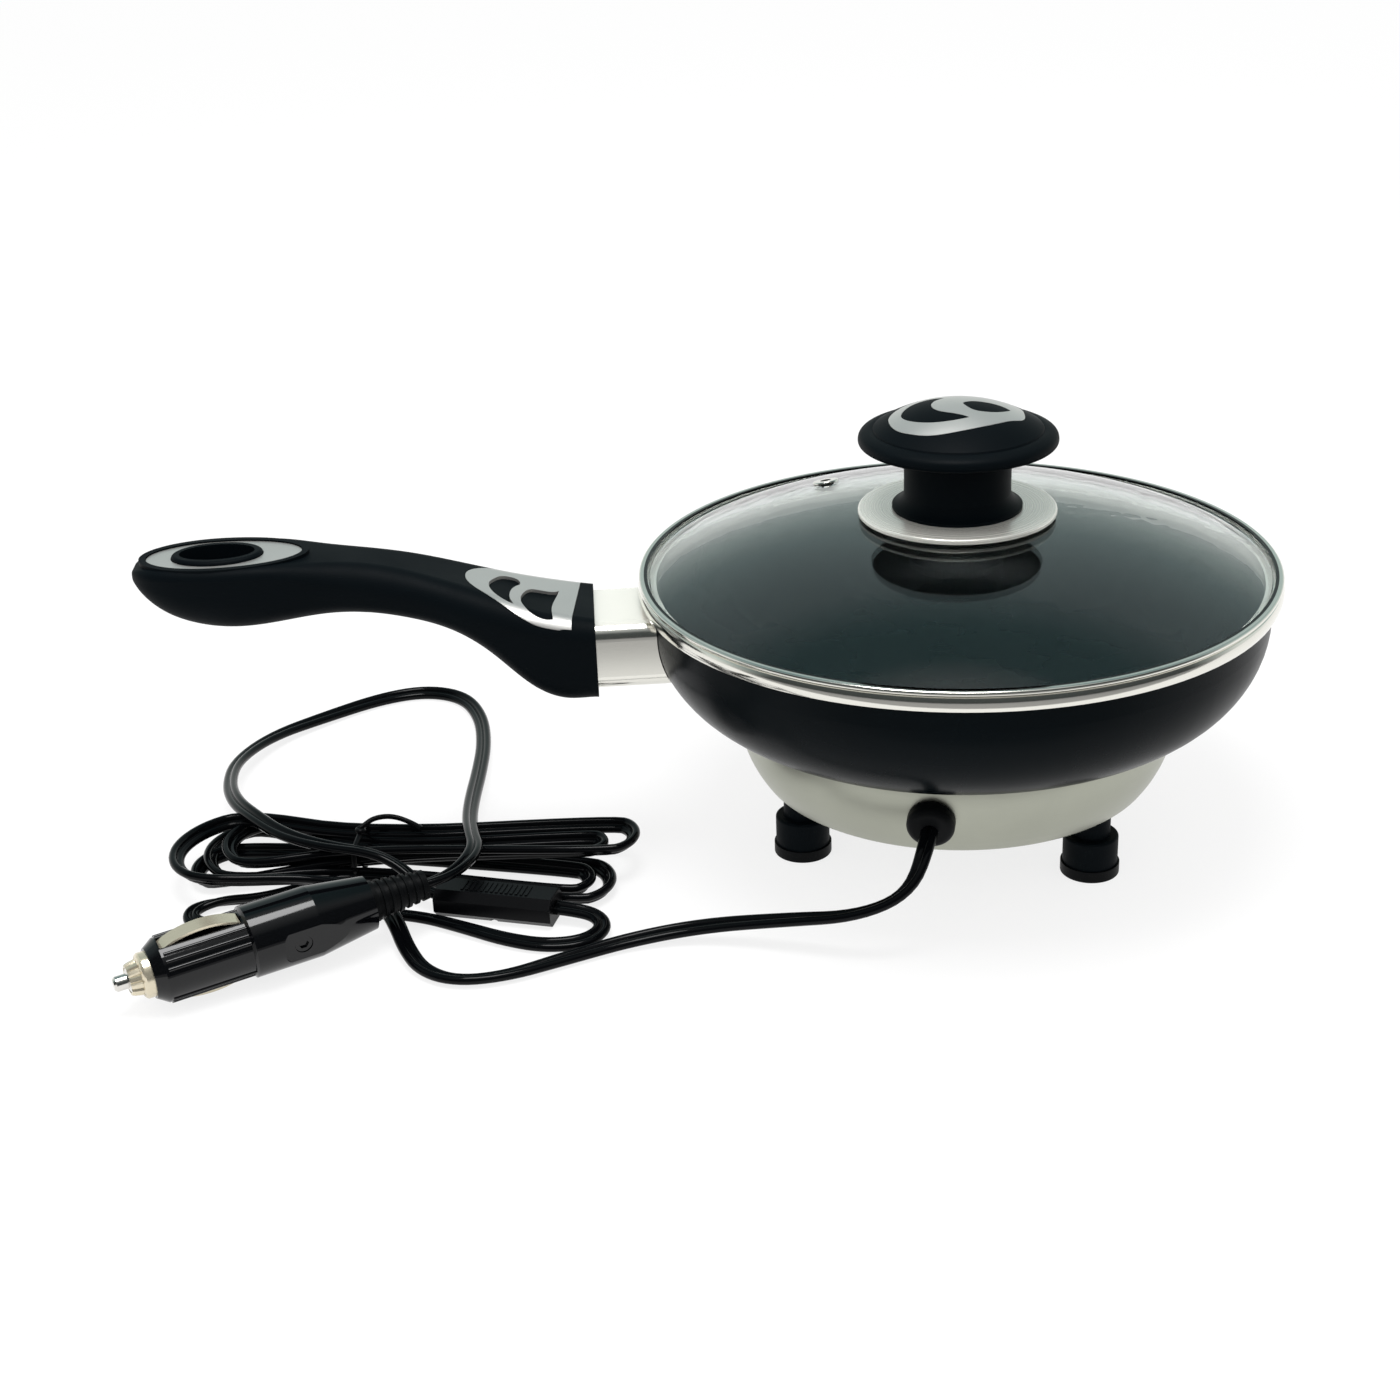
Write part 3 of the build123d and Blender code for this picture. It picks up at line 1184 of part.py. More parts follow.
def plug_turned(*outline):
    """Body turned about the plug's axis from its outline of distances and radii."""
    with BuildPart() as body:
        with BuildSketch(PLUG_SIDE):
            Polygon(*outline, align=None)
        revolve(axis=PLUG_TURN)
    return body


plug_pin = plug_turned(
    (0, 0),
    (0, PLUG_PIN_R - 0.7),
    (0.7, PLUG_PIN_R),
    (3.9, PLUG_PIN_R),
    (4.4, PLUG_COLLAR_R),
    (PIN_REAR_S - 2.0, PLUG_COLLAR_R),
    (PIN_REAR_S - 2.0, PLUG_BORE_R - GAP),
    (PIN_REAR_S, PLUG_BORE_R - GAP),
    (PIN_REAR_S, 0),
)
keep(plug_pin, "plug_pin")

plug_nut = plug_turned(
    (4.2, PLUG_COLLAR_R + SLIP),
    (4.2, PLUG_COLLAR_R + 0.8),
    (7.6, PLUG_NUT_R - 1.4),
    (8.2, PLUG_NUT_R),
    (PLUG_FRONT_S, PLUG_NUT_R),
    (PLUG_FRONT_S, PLUG_COLLAR_R + SLIP),
)
keep(plug_nut, "plug_nut")

keep(plug_rod(PLUG_FUSE_R, PIN_REAR_S, FUSE_REAR_S), "plug_fuse")

plug_spring = plug_turned(
    (FUSE_REAR_S, PLUG_FUSE_R - 1.2),
    (FUSE_REAR_S, PLUG_FUSE_R),
    (SPRING_REAR_S, PLUG_FUSE_R),
    (SPRING_REAR_S, PLUG_FUSE_R - 1.2),
)
keep(plug_spring, "plug_spring")


# Outline of a leaf contact: share of its length, and height from its root to its crown
CONTACT_BOW = [(0.0, 0.0), (0.18, 0.62), (0.42, 0.98), (0.66, 0.98), (0.86, 0.68), (1.0, 0.3)]


def contact_leaf(side):
    """Bowed leaf spring standing out of the barrel on one side."""
    first, last = CONTACT_S
    root_r = PLUG_NOSE_R - 1.4
    rise = 1.4 + CONTACT_PROUD
    line = [(first + share * (last - first), root_r + height * rise) for share, height in CONTACT_BOW]
    with BuildPart() as leaf_spring:
        with BuildSketch(PLUG_SIDE):
            with BuildLine():
                face = Spline(*[(s, side * radius) for s, radius in line])
                back = Spline(*[(s, side * (radius - CONTACT_T)) for s, radius in line])
                Line(face @ 0, back @ 0)
                Line(face @ 1, back @ 1)
            make_face()
        extrude(amount=CONTACT_W / 2, both=True)
    return leaf_spring


keep(contact_leaf(1), "plug_contact_upper")
keep(contact_leaf(-1), "plug_contact_lower")


def barrel():
    """Whole barrel of the plug, with its bore, contact slots, ribs and screw panel."""
    slot_low = PLUG_NOSE_R - 1.4 - CONTACT_T - CONTACT_TRAVEL - GAP
    slot_length = CONTACT_S[1] - CONTACT_S[0] + 2 * GAP
    slot_middle = (CONTACT_S[0] + CONTACT_S[1]) / 2
    with BuildPart() as body:
        with BuildSketch(PLUG_SIDE):
            Polygon(
                (PLUG_FRONT_S, PLUG_COLLAR_R + SLIP),
                (PLUG_FRONT_S, PLUG_NOSE_R - 2.2),
                (PLUG_FRONT_S + 3.2, PLUG_NOSE_R),
                (PLUG_GRIP_S, PLUG_NOSE_R),
                (PLUG_GRIP_S + 0.8, PLUG_GRIP_R),
                (PLUG_TAPER_S, PLUG_GRIP_R),
                (PLUG_REAR_S, PLUG_REAR_R),
                (PLUG_REAR_S, 0),
                (BORE_END_S, 0),
                (BORE_END_S, PLUG_BORE_R),
                (PLUG_FRONT_S + 2.0, PLUG_BORE_R),
                (PLUG_FRONT_S + 2.0, PLUG_COLLAR_R + SLIP),
                align=None,
            )
        revolve(axis=PLUG_TURN)
        with BuildSketch(PLUG_SIDE):
            for side in (1, -1):
                with Locations((slot_middle, side * (slot_low + PLUG_GRIP_R) / 2)):
                    Rectangle(slot_length, PLUG_GRIP_R - slot_low)
        extrude(amount=CONTACT_W / 2 + GAP, both=True, mode=Mode.SUBTRACT)
        for turn in (32, 46, 60, 120, 134, 148, -32, -46, -60, -120, -134, -148):
            lean = math.radians(turn)
            with BuildSketch(plug_plane(PLUG_FRONT_S + 4.0)):
                with Locations(((PLUG_NOSE_R - 0.1) * math.cos(lean), (PLUG_NOSE_R - 0.1) * math.sin(lean))):
                    Circle(RIB_R)
            extrude(amount=PLUG_GRIP_S - PLUG_FRONT_S - 4.0)
        panel = Plane(
            origin=PLUG_TIP + PLUG_AXIS * PANEL_S + PLUG_PANEL_OUT * (PLUG_GRIP_R - PANEL_DEPTH),
            x_dir=PLUG_AXIS,
            z_dir=PLUG_PANEL_OUT,
        )
        with BuildSketch(panel):
            RectangleRounded(PANEL_L, PANEL_W, PANEL_W / 3)
        extrude(amount=2 * PANEL_DEPTH, mode=Mode.SUBTRACT)
        screw_seat = Plane(
            origin=PLUG_TIP + PLUG_AXIS * PLUG_SCREW_S + PLUG_PANEL_OUT * (PLUG_GRIP_R - PANEL_DEPTH - 1.6),
            z_dir=PLUG_PANEL_OUT,
        )
        with BuildSketch(screw_seat):
            Circle(2.6 + SLIP)
        extrude(amount=2 * PANEL_DEPTH, mode=Mode.SUBTRACT)
    return body.part


SPLIT_PLANE = Plane(origin=PLUG_TIP, x_dir=PLUG_AXIS, z_dir=PLUG_PANEL_OUT)

with BuildPart() as plug_shell_front:
    add(barrel())
    split(bisect_by=SPLIT_PLANE, keep=Keep.TOP)
keep(plug_shell_front, "plug_shell_front")

with BuildPart() as plug_shell_back:
    add(barrel())
    split(bisect_by=SPLIT_PLANE, keep=Keep.BOTTOM)
keep(plug_shell_back, "plug_shell_back")

with BuildPart() as plug_screw:
    head_plane = Plane(
        origin=PLUG_TIP + PLUG_AXIS * PLUG_SCREW_S + PLUG_PANEL_OUT * (PLUG_GRIP_R - PANEL_DEPTH - 1.6),
        z_dir=PLUG_PANEL_OUT,
    )
    with BuildSketch(head_plane):
        Circle(2.6)
    extrude(amount=1.3)
    with BuildSketch(head_plane.offset(0.6)):
        RegularPolygon(1.6, 6)
    extrude(amount=1.0, mode=Mode.SUBTRACT)
keep(plug_screw, "plug_screw")

RELIEF_L = PLUG_L - PLUG_REAR_S
with BuildPart() as plug_relief:
    with BuildSketch(PLUG_SIDE):
        Polygon(
            (PLUG_REAR_S, 0), (PLUG_REAR_S, RELIEF_R), (PLUG_L, RELIEF_END_R), (PLUG_L, 0), align=None
        )
    revolve(axis=PLUG_TURN)
    for rib in range(RELIEF_RIBS):
        rib_s = PLUG_REAR_S + RELIEF_L * (rib + 1.0) / (RELIEF_RIBS + 1.0)
        rib_r = RELIEF_R + (RELIEF_END_R - RELIEF_R) * (rib_s - PLUG_REAR_S) / RELIEF_L
        with BuildSketch(plug_plane(rib_s - RELIEF_L / (4 * RELIEF_RIBS))):
            Circle(rib_r + 1)
            Circle(rib_r - RELIEF_RIB_H, mode=Mode.SUBTRACT)
        extrude(amount=RELIEF_L / (2 * RELIEF_RIBS), mode=Mode.SUBTRACT)
    with BuildSketch(plug_plane(PLUG_L - 2.0)):
        Circle(CORD_R + SLIP)
    extrude(amount=4.0, mode=Mode.SUBTRACT)
keep(plug_relief, "plug_relief")

# Lead inside the base: from the grommet to the terminal block
with BuildPart() as inner_lead:
    inner_points = [
        GROMMET_INNER,
        GROMMET_INNER - GROMMET_OUTWARD * 4.0,
        (-16.0, BLOCK_Y - BLOCK_W / 2 - 9.0, CUP_FLOOR_Z + BLOCK_H + 2.0),
        (-14.0, BLOCK_Y - BLOCK_W / 2 - 5.0, CUP_FLOOR_Z + BLOCK_H / 2),
        (-14.0, BLOCK_Y - BLOCK_W / 2, CUP_FLOOR_Z + BLOCK_H / 2),
    ]
    with BuildLine() as inner_route:
        FilletPolyline(*inner_points, radius=bend_radii(inner_points))
    inner_path = inner_route.wires()[0]
    with BuildSketch(Plane(origin=inner_path @ 0, z_dir=inner_path % 0)):
        Circle(CORD_R - 0.6)
    sweep(path=inner_path)
keep(inner_lead, "inner_lead")
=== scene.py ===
"""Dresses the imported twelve-volt skillet for its studio picture: finishes, lead, tie, plug nut and stage.

Lengths are in metres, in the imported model's own frame; routes are listed in millimetres and scaled once.
"""
import math

import bmesh
import bpy
from bpy.props import FloatProperty, FloatVectorProperty, IntProperty, PointerProperty
from mathutils import Matrix, Vector


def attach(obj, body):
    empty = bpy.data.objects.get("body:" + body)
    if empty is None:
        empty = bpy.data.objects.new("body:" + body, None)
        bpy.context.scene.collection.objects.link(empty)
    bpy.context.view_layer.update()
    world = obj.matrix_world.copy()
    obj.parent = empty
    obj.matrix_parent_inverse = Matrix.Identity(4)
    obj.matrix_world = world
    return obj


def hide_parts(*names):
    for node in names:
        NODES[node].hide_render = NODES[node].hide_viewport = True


bl_info = {
    "name": "Travel skillet studio",
    "version": (1, 0, 0),
    "blender": (4, 5, 0),
    "location": "3D View > Sidebar > Skillet",
    "description": "Finishes, lead and studio for a lidded travel skillet",
    "category": "Object",
}

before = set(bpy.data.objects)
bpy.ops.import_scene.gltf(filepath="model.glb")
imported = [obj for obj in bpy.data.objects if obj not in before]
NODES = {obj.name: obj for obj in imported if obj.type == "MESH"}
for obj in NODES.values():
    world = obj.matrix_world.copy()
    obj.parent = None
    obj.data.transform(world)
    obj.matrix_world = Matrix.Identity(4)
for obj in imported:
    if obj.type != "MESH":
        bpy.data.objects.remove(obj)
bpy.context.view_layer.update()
MM = 0.001


# Route of the lead, in millimetres: from the grommet to the hank, and from the hank to the fuse case
RUN_ROUTE = [
    (-18.5, -68.4, 36.0),
    (-20.2, -75.0, 34.4),
    (-26.7, -84.1, 22.3),
    (-42.0, -83.0, 15.0),
    (-63.0, -73.5, 9.8),
    (-86.0, -66.0, 5.2),
    (-108.0, -66.5, 2.4),
    (-129.0, -75.0, 2.0),
    (-146.0, -82.5, 2.0),
    (-160.5, -83.5, 2.0),
    (-170.5, -76.5, 2.0),
    (-175.8, -65.5, 3.2),
    (-179.5, -53.0, 5.0),
    (-184.5, -41.5, 7.0),
    (-193.0, -32.0, 7.9),
]
LINK_ROUTE = [
    (-244.6, -31.0, 2.1),
    (-244.6, -38.4, 2.0),
    (-237.0, -42.6, 2.0),
    (-222.0, -42.2, 2.0),
    (-205.0, -40.6, 2.0),
    (-188.0, -40.2, 2.0),
    (-172.5, -44.6, 2.0),
    (-159.0, -53.0, 2.0),
    (-146.5, -61.5, 2.0),
    (-134.0, -66.8, 2.0),
    (-122.6, -66.0, 2.1),
    (-116.4, -60.0, 2.6),
    (-118.2, -53.6, 3.8),
    (-127.1, -50.1, 4.75),
    (-132.8, -48.2, 4.75),
]
# Route of the lead from the fuse case, over the hank, round the open loop and back to the plug
LOOP_ROUTE = [
    (-165.2, -37.8, 4.75),
    (-170.9, -35.9, 4.9),
    (-178.5, -27.5, 10.2),
    (-188.5, -22.4, 13.6),
    (-204.0, -17.0, 14.0),
    (-218.0, -8.0, 14.2),
    (-229.0, 6.0, 14.4),
    (-237.5, 22.0, 12.2),
    (-242.6, 42.0, 9.2),
    (-243.4, 66.0, 6.2),
    (-234.0, 90.0, 3.8),
    (-216.0, 107.0, 2.5),
    (-197.0, 121.0, 2.2),
    (-180.0, 125.6, 2.2),
    (-165.5, 118.0, 2.2),
    (-158.6, 99.0, 2.3),
    (-156.6, 73.0, 3.6),
    (-157.4, 46.0, 5.8),
    (-158.6, 22.0, 8.6),
    (-158.8, 2.0, 11.4),
    (-157.4, -14.0, 13.9),
    (-155.4, -26.0, 15.4),
    (-158.2, -37.6, 16.0),
    (-164.7, -45.5, 15.3),
    (-172.1, -48.4, 14.9),
]
# Hank: a pinched waist with four loops wound one way, two to a layer, no two of them alike.
# Lanes are a first distance and a spacing; waist points are across and up; ends, fans and rises go by loop
HANK_WAIST = (-193.0, -9.0)
HANK_AXIS = (0.9821, -0.1885)
HANK_LEFT = -35.6
HANK_RIGHT = 75.8
HANK_LOW = 3.0
HANK_LAYER = 4.8
LANES_LEFT = (12.0, 6.6)
WAIST_FAR = ((4.2, 10.4), (0.4, 7.4), (3.0, 4.6), (5.6, 2.9))
WAIST_NEAR = ((-3.8, 9.6), (-2.8, 6.4), (-5.4, 3.9), (-7.6, 2.9))
LANES_RIGHT = (4.8, 4.8)
NEAR_LANES = (2, 1, 0, 1, 2)
FAR_LANES = (1, 0, 0, 1)
TURN_STEPS = 5
LEFT_ENDS = (0.0, 6.5, -5.0, 3.0)
RIGHT_ENDS = (2.0, -3.0, -8.0, -6.0)
LEFT_FAN = (0.10, -0.12, 0.14, -0.05)
RIGHT_FAN = (0.07, 0.04, -0.07, -0.08)
LEFT_RISE = (3.0, 0.5, 0.0, 1.2)
RIGHT_RISE = (4.0, 2.5, 0.0, 0.0)
# A spline of this order runs inside its control points, so turns are drawn wider by a share
SPLINE_ORDER = 3
TURN_SWELL = 1.05
# Where the lead comes into the hank: along and across from the waist
HANK_ENTRY = (-12.0, -20.0)
# Where it leaves the hank: along, across and up from the waist, then one point in the model's frame
HANK_LEAVING = ((-15.0, -17.6, 2.9), (-27.0, -24.4, 2.6))
HANK_EXIT = (-236.0, -27.0, 2.2)
# How far the flat lead rolls each way along a stretch, how fast, and from where, in radians
RUN_SWAY = (0.35, 0.9, 0.0)
HANK_SWAY = (0.12, 1.7, 0.0)
LINK_SWAY = (0.25, 0.8, 0.0)
LOOP_SWAY = (0.5, 0.55, 0.6)
CORE_STEPS = 10
PATH_STEP = 0.2 * MM


class StageSettings(bpy.types.PropertyGroup):
    """Camera, lamps and floor."""

    distance: FloatProperty(
        name="Camera distance", description="From the camera to its target", default=0.7, unit="LENGTH"
    )
    azimuth: FloatProperty(
        name="Camera azimuth",
        description="Turn of the camera about the pan",
        default=math.radians(-2.5),
        subtype="ANGLE",
    )
    elevation: FloatProperty(
        name="Camera elevation",
        description="Height angle of the camera",
        default=math.radians(24.614),
        subtype="ANGLE",
    )
    roll: FloatProperty(
        name="Camera roll", description="Tilt of the picture", default=math.radians(2.32), subtype="ANGLE"
    )
    lens: FloatProperty(name="Lens", description="Focal length in millimetres", default=55.98)
    target: FloatVectorProperty(
        name="Target",
        description="Point at the picture's middle",
        default=(-0.0819, 0.00358, 0.04776),
        subtype="XYZ",
    )
    floor_half: FloatProperty(
        name="Floor half side", description="Half of the floor's side", default=6.0, unit="LENGTH"
    )
    floor_colour: FloatVectorProperty(
        name="Floor colour",
        description="Paper under the skillet",
        default=(0.93, 0.93, 0.93),
        subtype="COLOR",
    )
    floor_shade: FloatProperty(
        name="Shadow share", description="Share of the floor's own shading that the camera sees", default=0.2
    )
    overhead_power: FloatProperty(name="Overhead lamp", description="Power of the overhead lamp", default=9.0)
    front_power: FloatProperty(name="Front lamp", description="Power of the front lamp", default=2.0)
    room_light: FloatProperty(name="Room light", description="Strength of the even room light", default=1.0)


class FinishSettings(bpy.types.PropertyGroup):
    """Colours of the skillet's finishes."""

    coat: FloatVectorProperty(
        name="Pan coat", description="Outside of the pan", default=(0.0016, 0.0032, 0.0042), subtype="COLOR"
    )
    nonstick: FloatVectorProperty(
        name="Non-stick", description="Inside of the pan", default=(0.004, 0.0065, 0.007), subtype="COLOR"
    )
    polished: FloatVectorProperty(
        name="Polished steel",
        description="Rim, guard, eyelet and knob disc",
        default=(0.80, 0.79, 0.73),
        subtype="COLOR",
    )
    satin: FloatVectorProperty(
        name="Satin steel",
        description="Heated base and hidden steel",
        default=(0.41, 0.42, 0.355),
        subtype="COLOR",
    )
    soft: FloatVectorProperty(
        name="Soft black",
        description="Grip, knob and feet",
        default=(0.0014, 0.0032, 0.0046),
        subtype="COLOR",
    )
    silver: FloatVectorProperty(
        name="Silver trim", description="Inlays and bezel", default=(0.60, 0.59, 0.57), subtype="COLOR"
    )
    glass: FloatVectorProperty(
        name="Lid glass", description="Tint of the lid", default=(0.93, 0.965, 0.955), subtype="COLOR"
    )
    rubber: FloatVectorProperty(
        name="Rubber",
        description="Grommet, foot tips, washer and strain relief",
        default=(0.0025, 0.003, 0.0035),
        subtype="COLOR",
    )
    vinyl: FloatVectorProperty(
        name="Lead vinyl", description="Skin of the lead", default=(0.0016, 0.0019, 0.0024), subtype="COLOR"
    )
    gloss: FloatVectorProperty(
        name="Gloss black",
        description="Plug, fuse case and tie",
        default=(0.0016, 0.0018, 0.0024),
        subtype="COLOR",
    )
    pale_gold: FloatVectorProperty(
        name="Pale gold",
        description="Plug contacts, nut and fuse clips",
        default=(0.72, 0.65, 0.5),
        subtype="COLOR",
    )
    nickel: FloatVectorProperty(
        name="Nickel", description="Plug pin", default=(0.76, 0.74, 0.70), subtype="COLOR"
    )
    ceramic: FloatVectorProperty(
        name="Ceramic", description="Terminal block and fuses", default=(0.75, 0.72, 0.66), subtype="COLOR"
    )


class LeadSettings(bpy.types.PropertyGroup):
    """Section of the flat twin lead, thickness of its tie and ridges of the plug's nut."""

    width: FloatProperty(name="Width", description="Across both cores", default=5.4 * MM, unit="LENGTH")
    thickness: FloatProperty(name="Thickness", description="Across one core", default=2.8 * MM, unit="LENGTH")
    web: FloatProperty(
        name="Web", description="Half thickness between the cores", default=0.75 * MM, unit="LENGTH"
    )
    hank_roll: FloatProperty(
        name="Hank roll",
        description="Lean of the lead in the hank",
        default=math.radians(45),
        subtype="ANGLE",
    )
    steps: IntProperty(name="Steps", description="Rings between two points of the route", default=6)
    tie_radius: FloatProperty(
        name="Tie wire", description="Half thickness of the tie", default=0.85 * MM, unit="LENGTH"
    )
    knurls: IntProperty(name="Nut ridges", description="Ridges round the plug's nut", default=14)


# Node groups and finishes

# Ends of the range that noise mostly keeps to, and the scales of the colour clouds
NOISE_LOW = 0.3
NOISE_HIGH = 0.7
CLOUD_SCALE = 26.0
TINT_CLOUD_SCALE = 18.0
TINT_SHADE = 0.85
BUMP_DEPTH = 0.05 * MM


def new_group(name, inputs, outputs):
    """Empty shader node group with float or colour sockets."""
    group = bpy.data.node_groups.new(name, "ShaderNodeTree")
    for socket, kind in inputs:
        group.interface.new_socket(socket, in_out="INPUT", socket_type=kind)
    for socket, kind in outputs:
        group.interface.new_socket(socket, in_out="OUTPUT", socket_type=kind)
    start = group.nodes.new("NodeGroupInput")
    end = group.nodes.new("NodeGroupOutput")
    return group, start, end


def put(tree, kind, **values):
    """Node with its input sockets or plain attributes set by name."""
    node = tree.nodes.new(kind)
    for name, value in values.items():
        socket = node.inputs.get(name.replace("_", " "))
        if socket is None:
            setattr(node, name, value)
        else:
            socket.default_value = value
    return node


def feed(tree, socket, value):
    """Give an input socket a number, or link another node's output to it."""
    if isinstance(value, (int, float)):
        socket.default_value = value
    else:
        tree.links.new(value, socket)


def math_node(tree, operation, *values):
    """Math node fed by sockets or numbers."""
    node = put(tree, "ShaderNodeMath", operation=operation)
    for socket, value in zip(node.inputs, values):
        feed(tree, socket, value)
    return node.outputs[0]


def map_range(tree, value, ends):
    """Value run through a range whose named ends are sockets or numbers."""
    node = put(tree, "ShaderNodeMapRange")
    tree.links.new(value, node.inputs["Value"])
    for name, end in ends.items():
        feed(tree, node.inputs[name], end)
    return node.outputs["Result"]


def spread(tree, noise, low, high):
    """Noise stretched to run between two sockets or numbers."""
    ends = {"From Min": NOISE_LOW, "From Max": NOISE_HIGH, "To Min": low, "To Max": high}
    return map_range(tree, noise, ends)


GRAIN_INPUTS = [("Scale", "NodeSocketFloat"), ("Smooth", "NodeSocketFloat"), ("Rough", "NodeSocketFloat")]
GRAIN_OUTPUTS = [("Roughness", "NodeSocketFloat"), ("Height", "NodeSocketFloat")]


def axis_place(tree):
    """Distance from the pan's axis, and height, of the shaded point."""
    place = put(tree, "ShaderNodeTexCoord")
    split = put(tree, "ShaderNodeSeparateXYZ")
    tree.links.new(place.outputs["Object"], split.inputs[0])
    across = math_node(tree, "MULTIPLY", split.outputs["X"], split.outputs["X"])
    along = math_node(tree, "MULTIPLY", split.outputs["Y"], split.outputs["Y"])
    return math_node(tree, "SQRT", math_node(tree, "ADD", across, along)), split.outputs["Z"]


def moulded_grain():
    """Fine even grain: roughness that wanders between two values, and a height for a bump."""
    group, start, end = new_group("Moulded grain", GRAIN_INPUTS, GRAIN_OUTPUTS)
    place = put(group, "ShaderNodeTexCoord")
    grain = put(group, "ShaderNodeTexNoise", Detail=4.0, Roughness=0.6)
    cloud = put(group, "ShaderNodeTexNoise", Scale=38.0, Detail=3.0)
    for noise in (grain, cloud):
        group.links.new(place.outputs["Object"], noise.inputs["Vector"])
    group.links.new(start.outputs["Scale"], grain.inputs["Scale"])
    rough = spread(group, cloud.outputs["Fac"], start.outputs["Smooth"], start.outputs["Rough"])
    group.links.new(rough, end.inputs["Roughness"])
    group.links.new(grain.outputs["Fac"], end.inputs["Height"])
    return group


def turned_grain():
    """Fine rings about the pan's axis, as spun or polished steel shows."""
    group, start, end = new_group("Turned grain", GRAIN_INPUTS, GRAIN_OUTPUTS)
    radius, height = axis_place(group)
    rings = put(group, "ShaderNodeCombineXYZ")
    group.links.new(radius, rings.inputs["X"])
    group.links.new(height, rings.inputs["Y"])
    grain = put(group, "ShaderNodeTexNoise", Detail=6.0, Roughness=0.7)
    group.links.new(rings.outputs[0], grain.inputs["Vector"])
    group.links.new(start.outputs["Scale"], grain.inputs["Scale"])
    rough = spread(group, grain.outputs["Fac"], start.outputs["Smooth"], start.outputs["Rough"])
    group.links.new(rough, end.inputs["Roughness"])
    group.links.new(grain.outputs["Fac"], end.inputs["Height"])
    return group


def handled_colour():
    """Colour with faint darker clouds where hands and cloths have been."""
    group, start, end = new_group(
        "Handled colour",
        [("Colour", "NodeSocketColor"), ("Shade", "NodeSocketColor"), ("Scale", "NodeSocketFloat")],
        [("Colour", "NodeSocketColor")],
    )
    place = put(group, "ShaderNodeTexCoord")
    cloud = put(group, "ShaderNodeTexNoise", Detail=5.0, Roughness=0.55, Distortion=0.4)
    group.links.new(place.outputs["Object"], cloud.inputs["Vector"])
    group.links.new(start.outputs["Scale"], cloud.inputs["Scale"])
    blend = put(group, "ShaderNodeMix", data_type="RGBA")
    group.links.new(spread(group, cloud.outputs["Fac"], 0.0, 1.0), blend.inputs["Factor"])
    group.links.new(start.outputs["Colour"], blend.inputs["A"])
    group.links.new(start.outputs["Shade"], blend.inputs["B"])
    group.links.new(blend.outputs["Result"], end.inputs["Colour"])
    return group


GROUPS = {}


def use_group(tree, maker, **values):
    """Place a shared node group, building it the first time."""
    if maker not in GROUPS:
        GROUPS[maker] = maker()
    node = put(tree, "ShaderNodeGroup")
    node.node_tree = GROUPS[maker]
    for name, value in values.items():
        node.inputs[name].default_value = value
    return node


def opaque(colour, share=1.0):
    """Colour property as four numbers, darkened by a share."""
    return (colour[0] * share, colour[1] * share, colour[2] * share, 1.0)


def clouded(tree, colour, share, scale):
    """Colour with clouds that are darker by a share."""
    shade = opaque(colour, share)
    tint = use_group(tree, handled_colour, Colour=opaque(colour), Shade=shade, Scale=scale)
    return tint.outputs["Colour"]


def new_finish(name, colour, scale, smooth, rough, relief, grain=moulded_grain, shade=0.8, **sockets):
    """Principled material with shared colour clouds and grain; other sockets are plain values."""
    material = bpy.data.materials.new(name)
    material.use_nodes = True
    tree = material.node_tree
    shader = tree.nodes["Principled BSDF"]
    for socket, value in sockets.items():
        shader.inputs[socket.replace("_", " ")].default_value = value
    tint = clouded(tree, colour, shade, CLOUD_SCALE)
    tree.links.new(tint, shader.inputs["Base Color"])
    texture = use_group(tree, grain, Scale=scale, Smooth=smooth, Rough=rough)
    tree.links.new(texture.outputs["Roughness"], shader.inputs["Roughness"])
    bump = put(tree, "ShaderNodeBump", Strength=relief, Distance=BUMP_DEPTH)
    tree.links.new(texture.outputs["Height"], bump.inputs["Height"])
    tree.links.new(bump.outputs["Normal"], shader.inputs["Normal"])
    return material


# Where the pan's wall bends, where its brim is bare, the rim's channel with its painted shade, and the
# guard's top
PAN_FLAT_R = 65.0 * MM
PAN_BEND_Z = 78.8 * MM
PAN_MID_BEND_R = 30.6 * MM
BARE_BRIM_Z = 80.8 * MM
CHANNEL_R = 98.0 * MM
CHANNEL_Z = 87.0 * MM
# Painted shade: near-black colour for the rim's channel, standing in for the shadow between the glass's edge
# and the rim
CHANNEL_PAINTED_SHADE = (0.01, 0.01, 0.01)
SKIRT_DULLED = 0.9
GUARD_TOP_Z = 83.3 * MM
GUARD_TOP_DULLED = 0.7


def second_tint(tree, mask, colour):
    """Give the masked part of a finish a second colour."""
    shader = tree.nodes["Principled BSDF"]
    first = shader.inputs["Base Color"].links[0].from_socket
    blend = put(tree, "ShaderNodeMix", data_type="RGBA")
    tree.links.new(mask, blend.inputs["Factor"])
    tree.links.new(first, blend.inputs["A"])
    tree.links.new(clouded(tree, colour, TINT_SHADE, TINT_CLOUD_SCALE), blend.inputs["B"])
    tree.links.new(blend.outputs["Result"], shader.inputs["Base Color"])


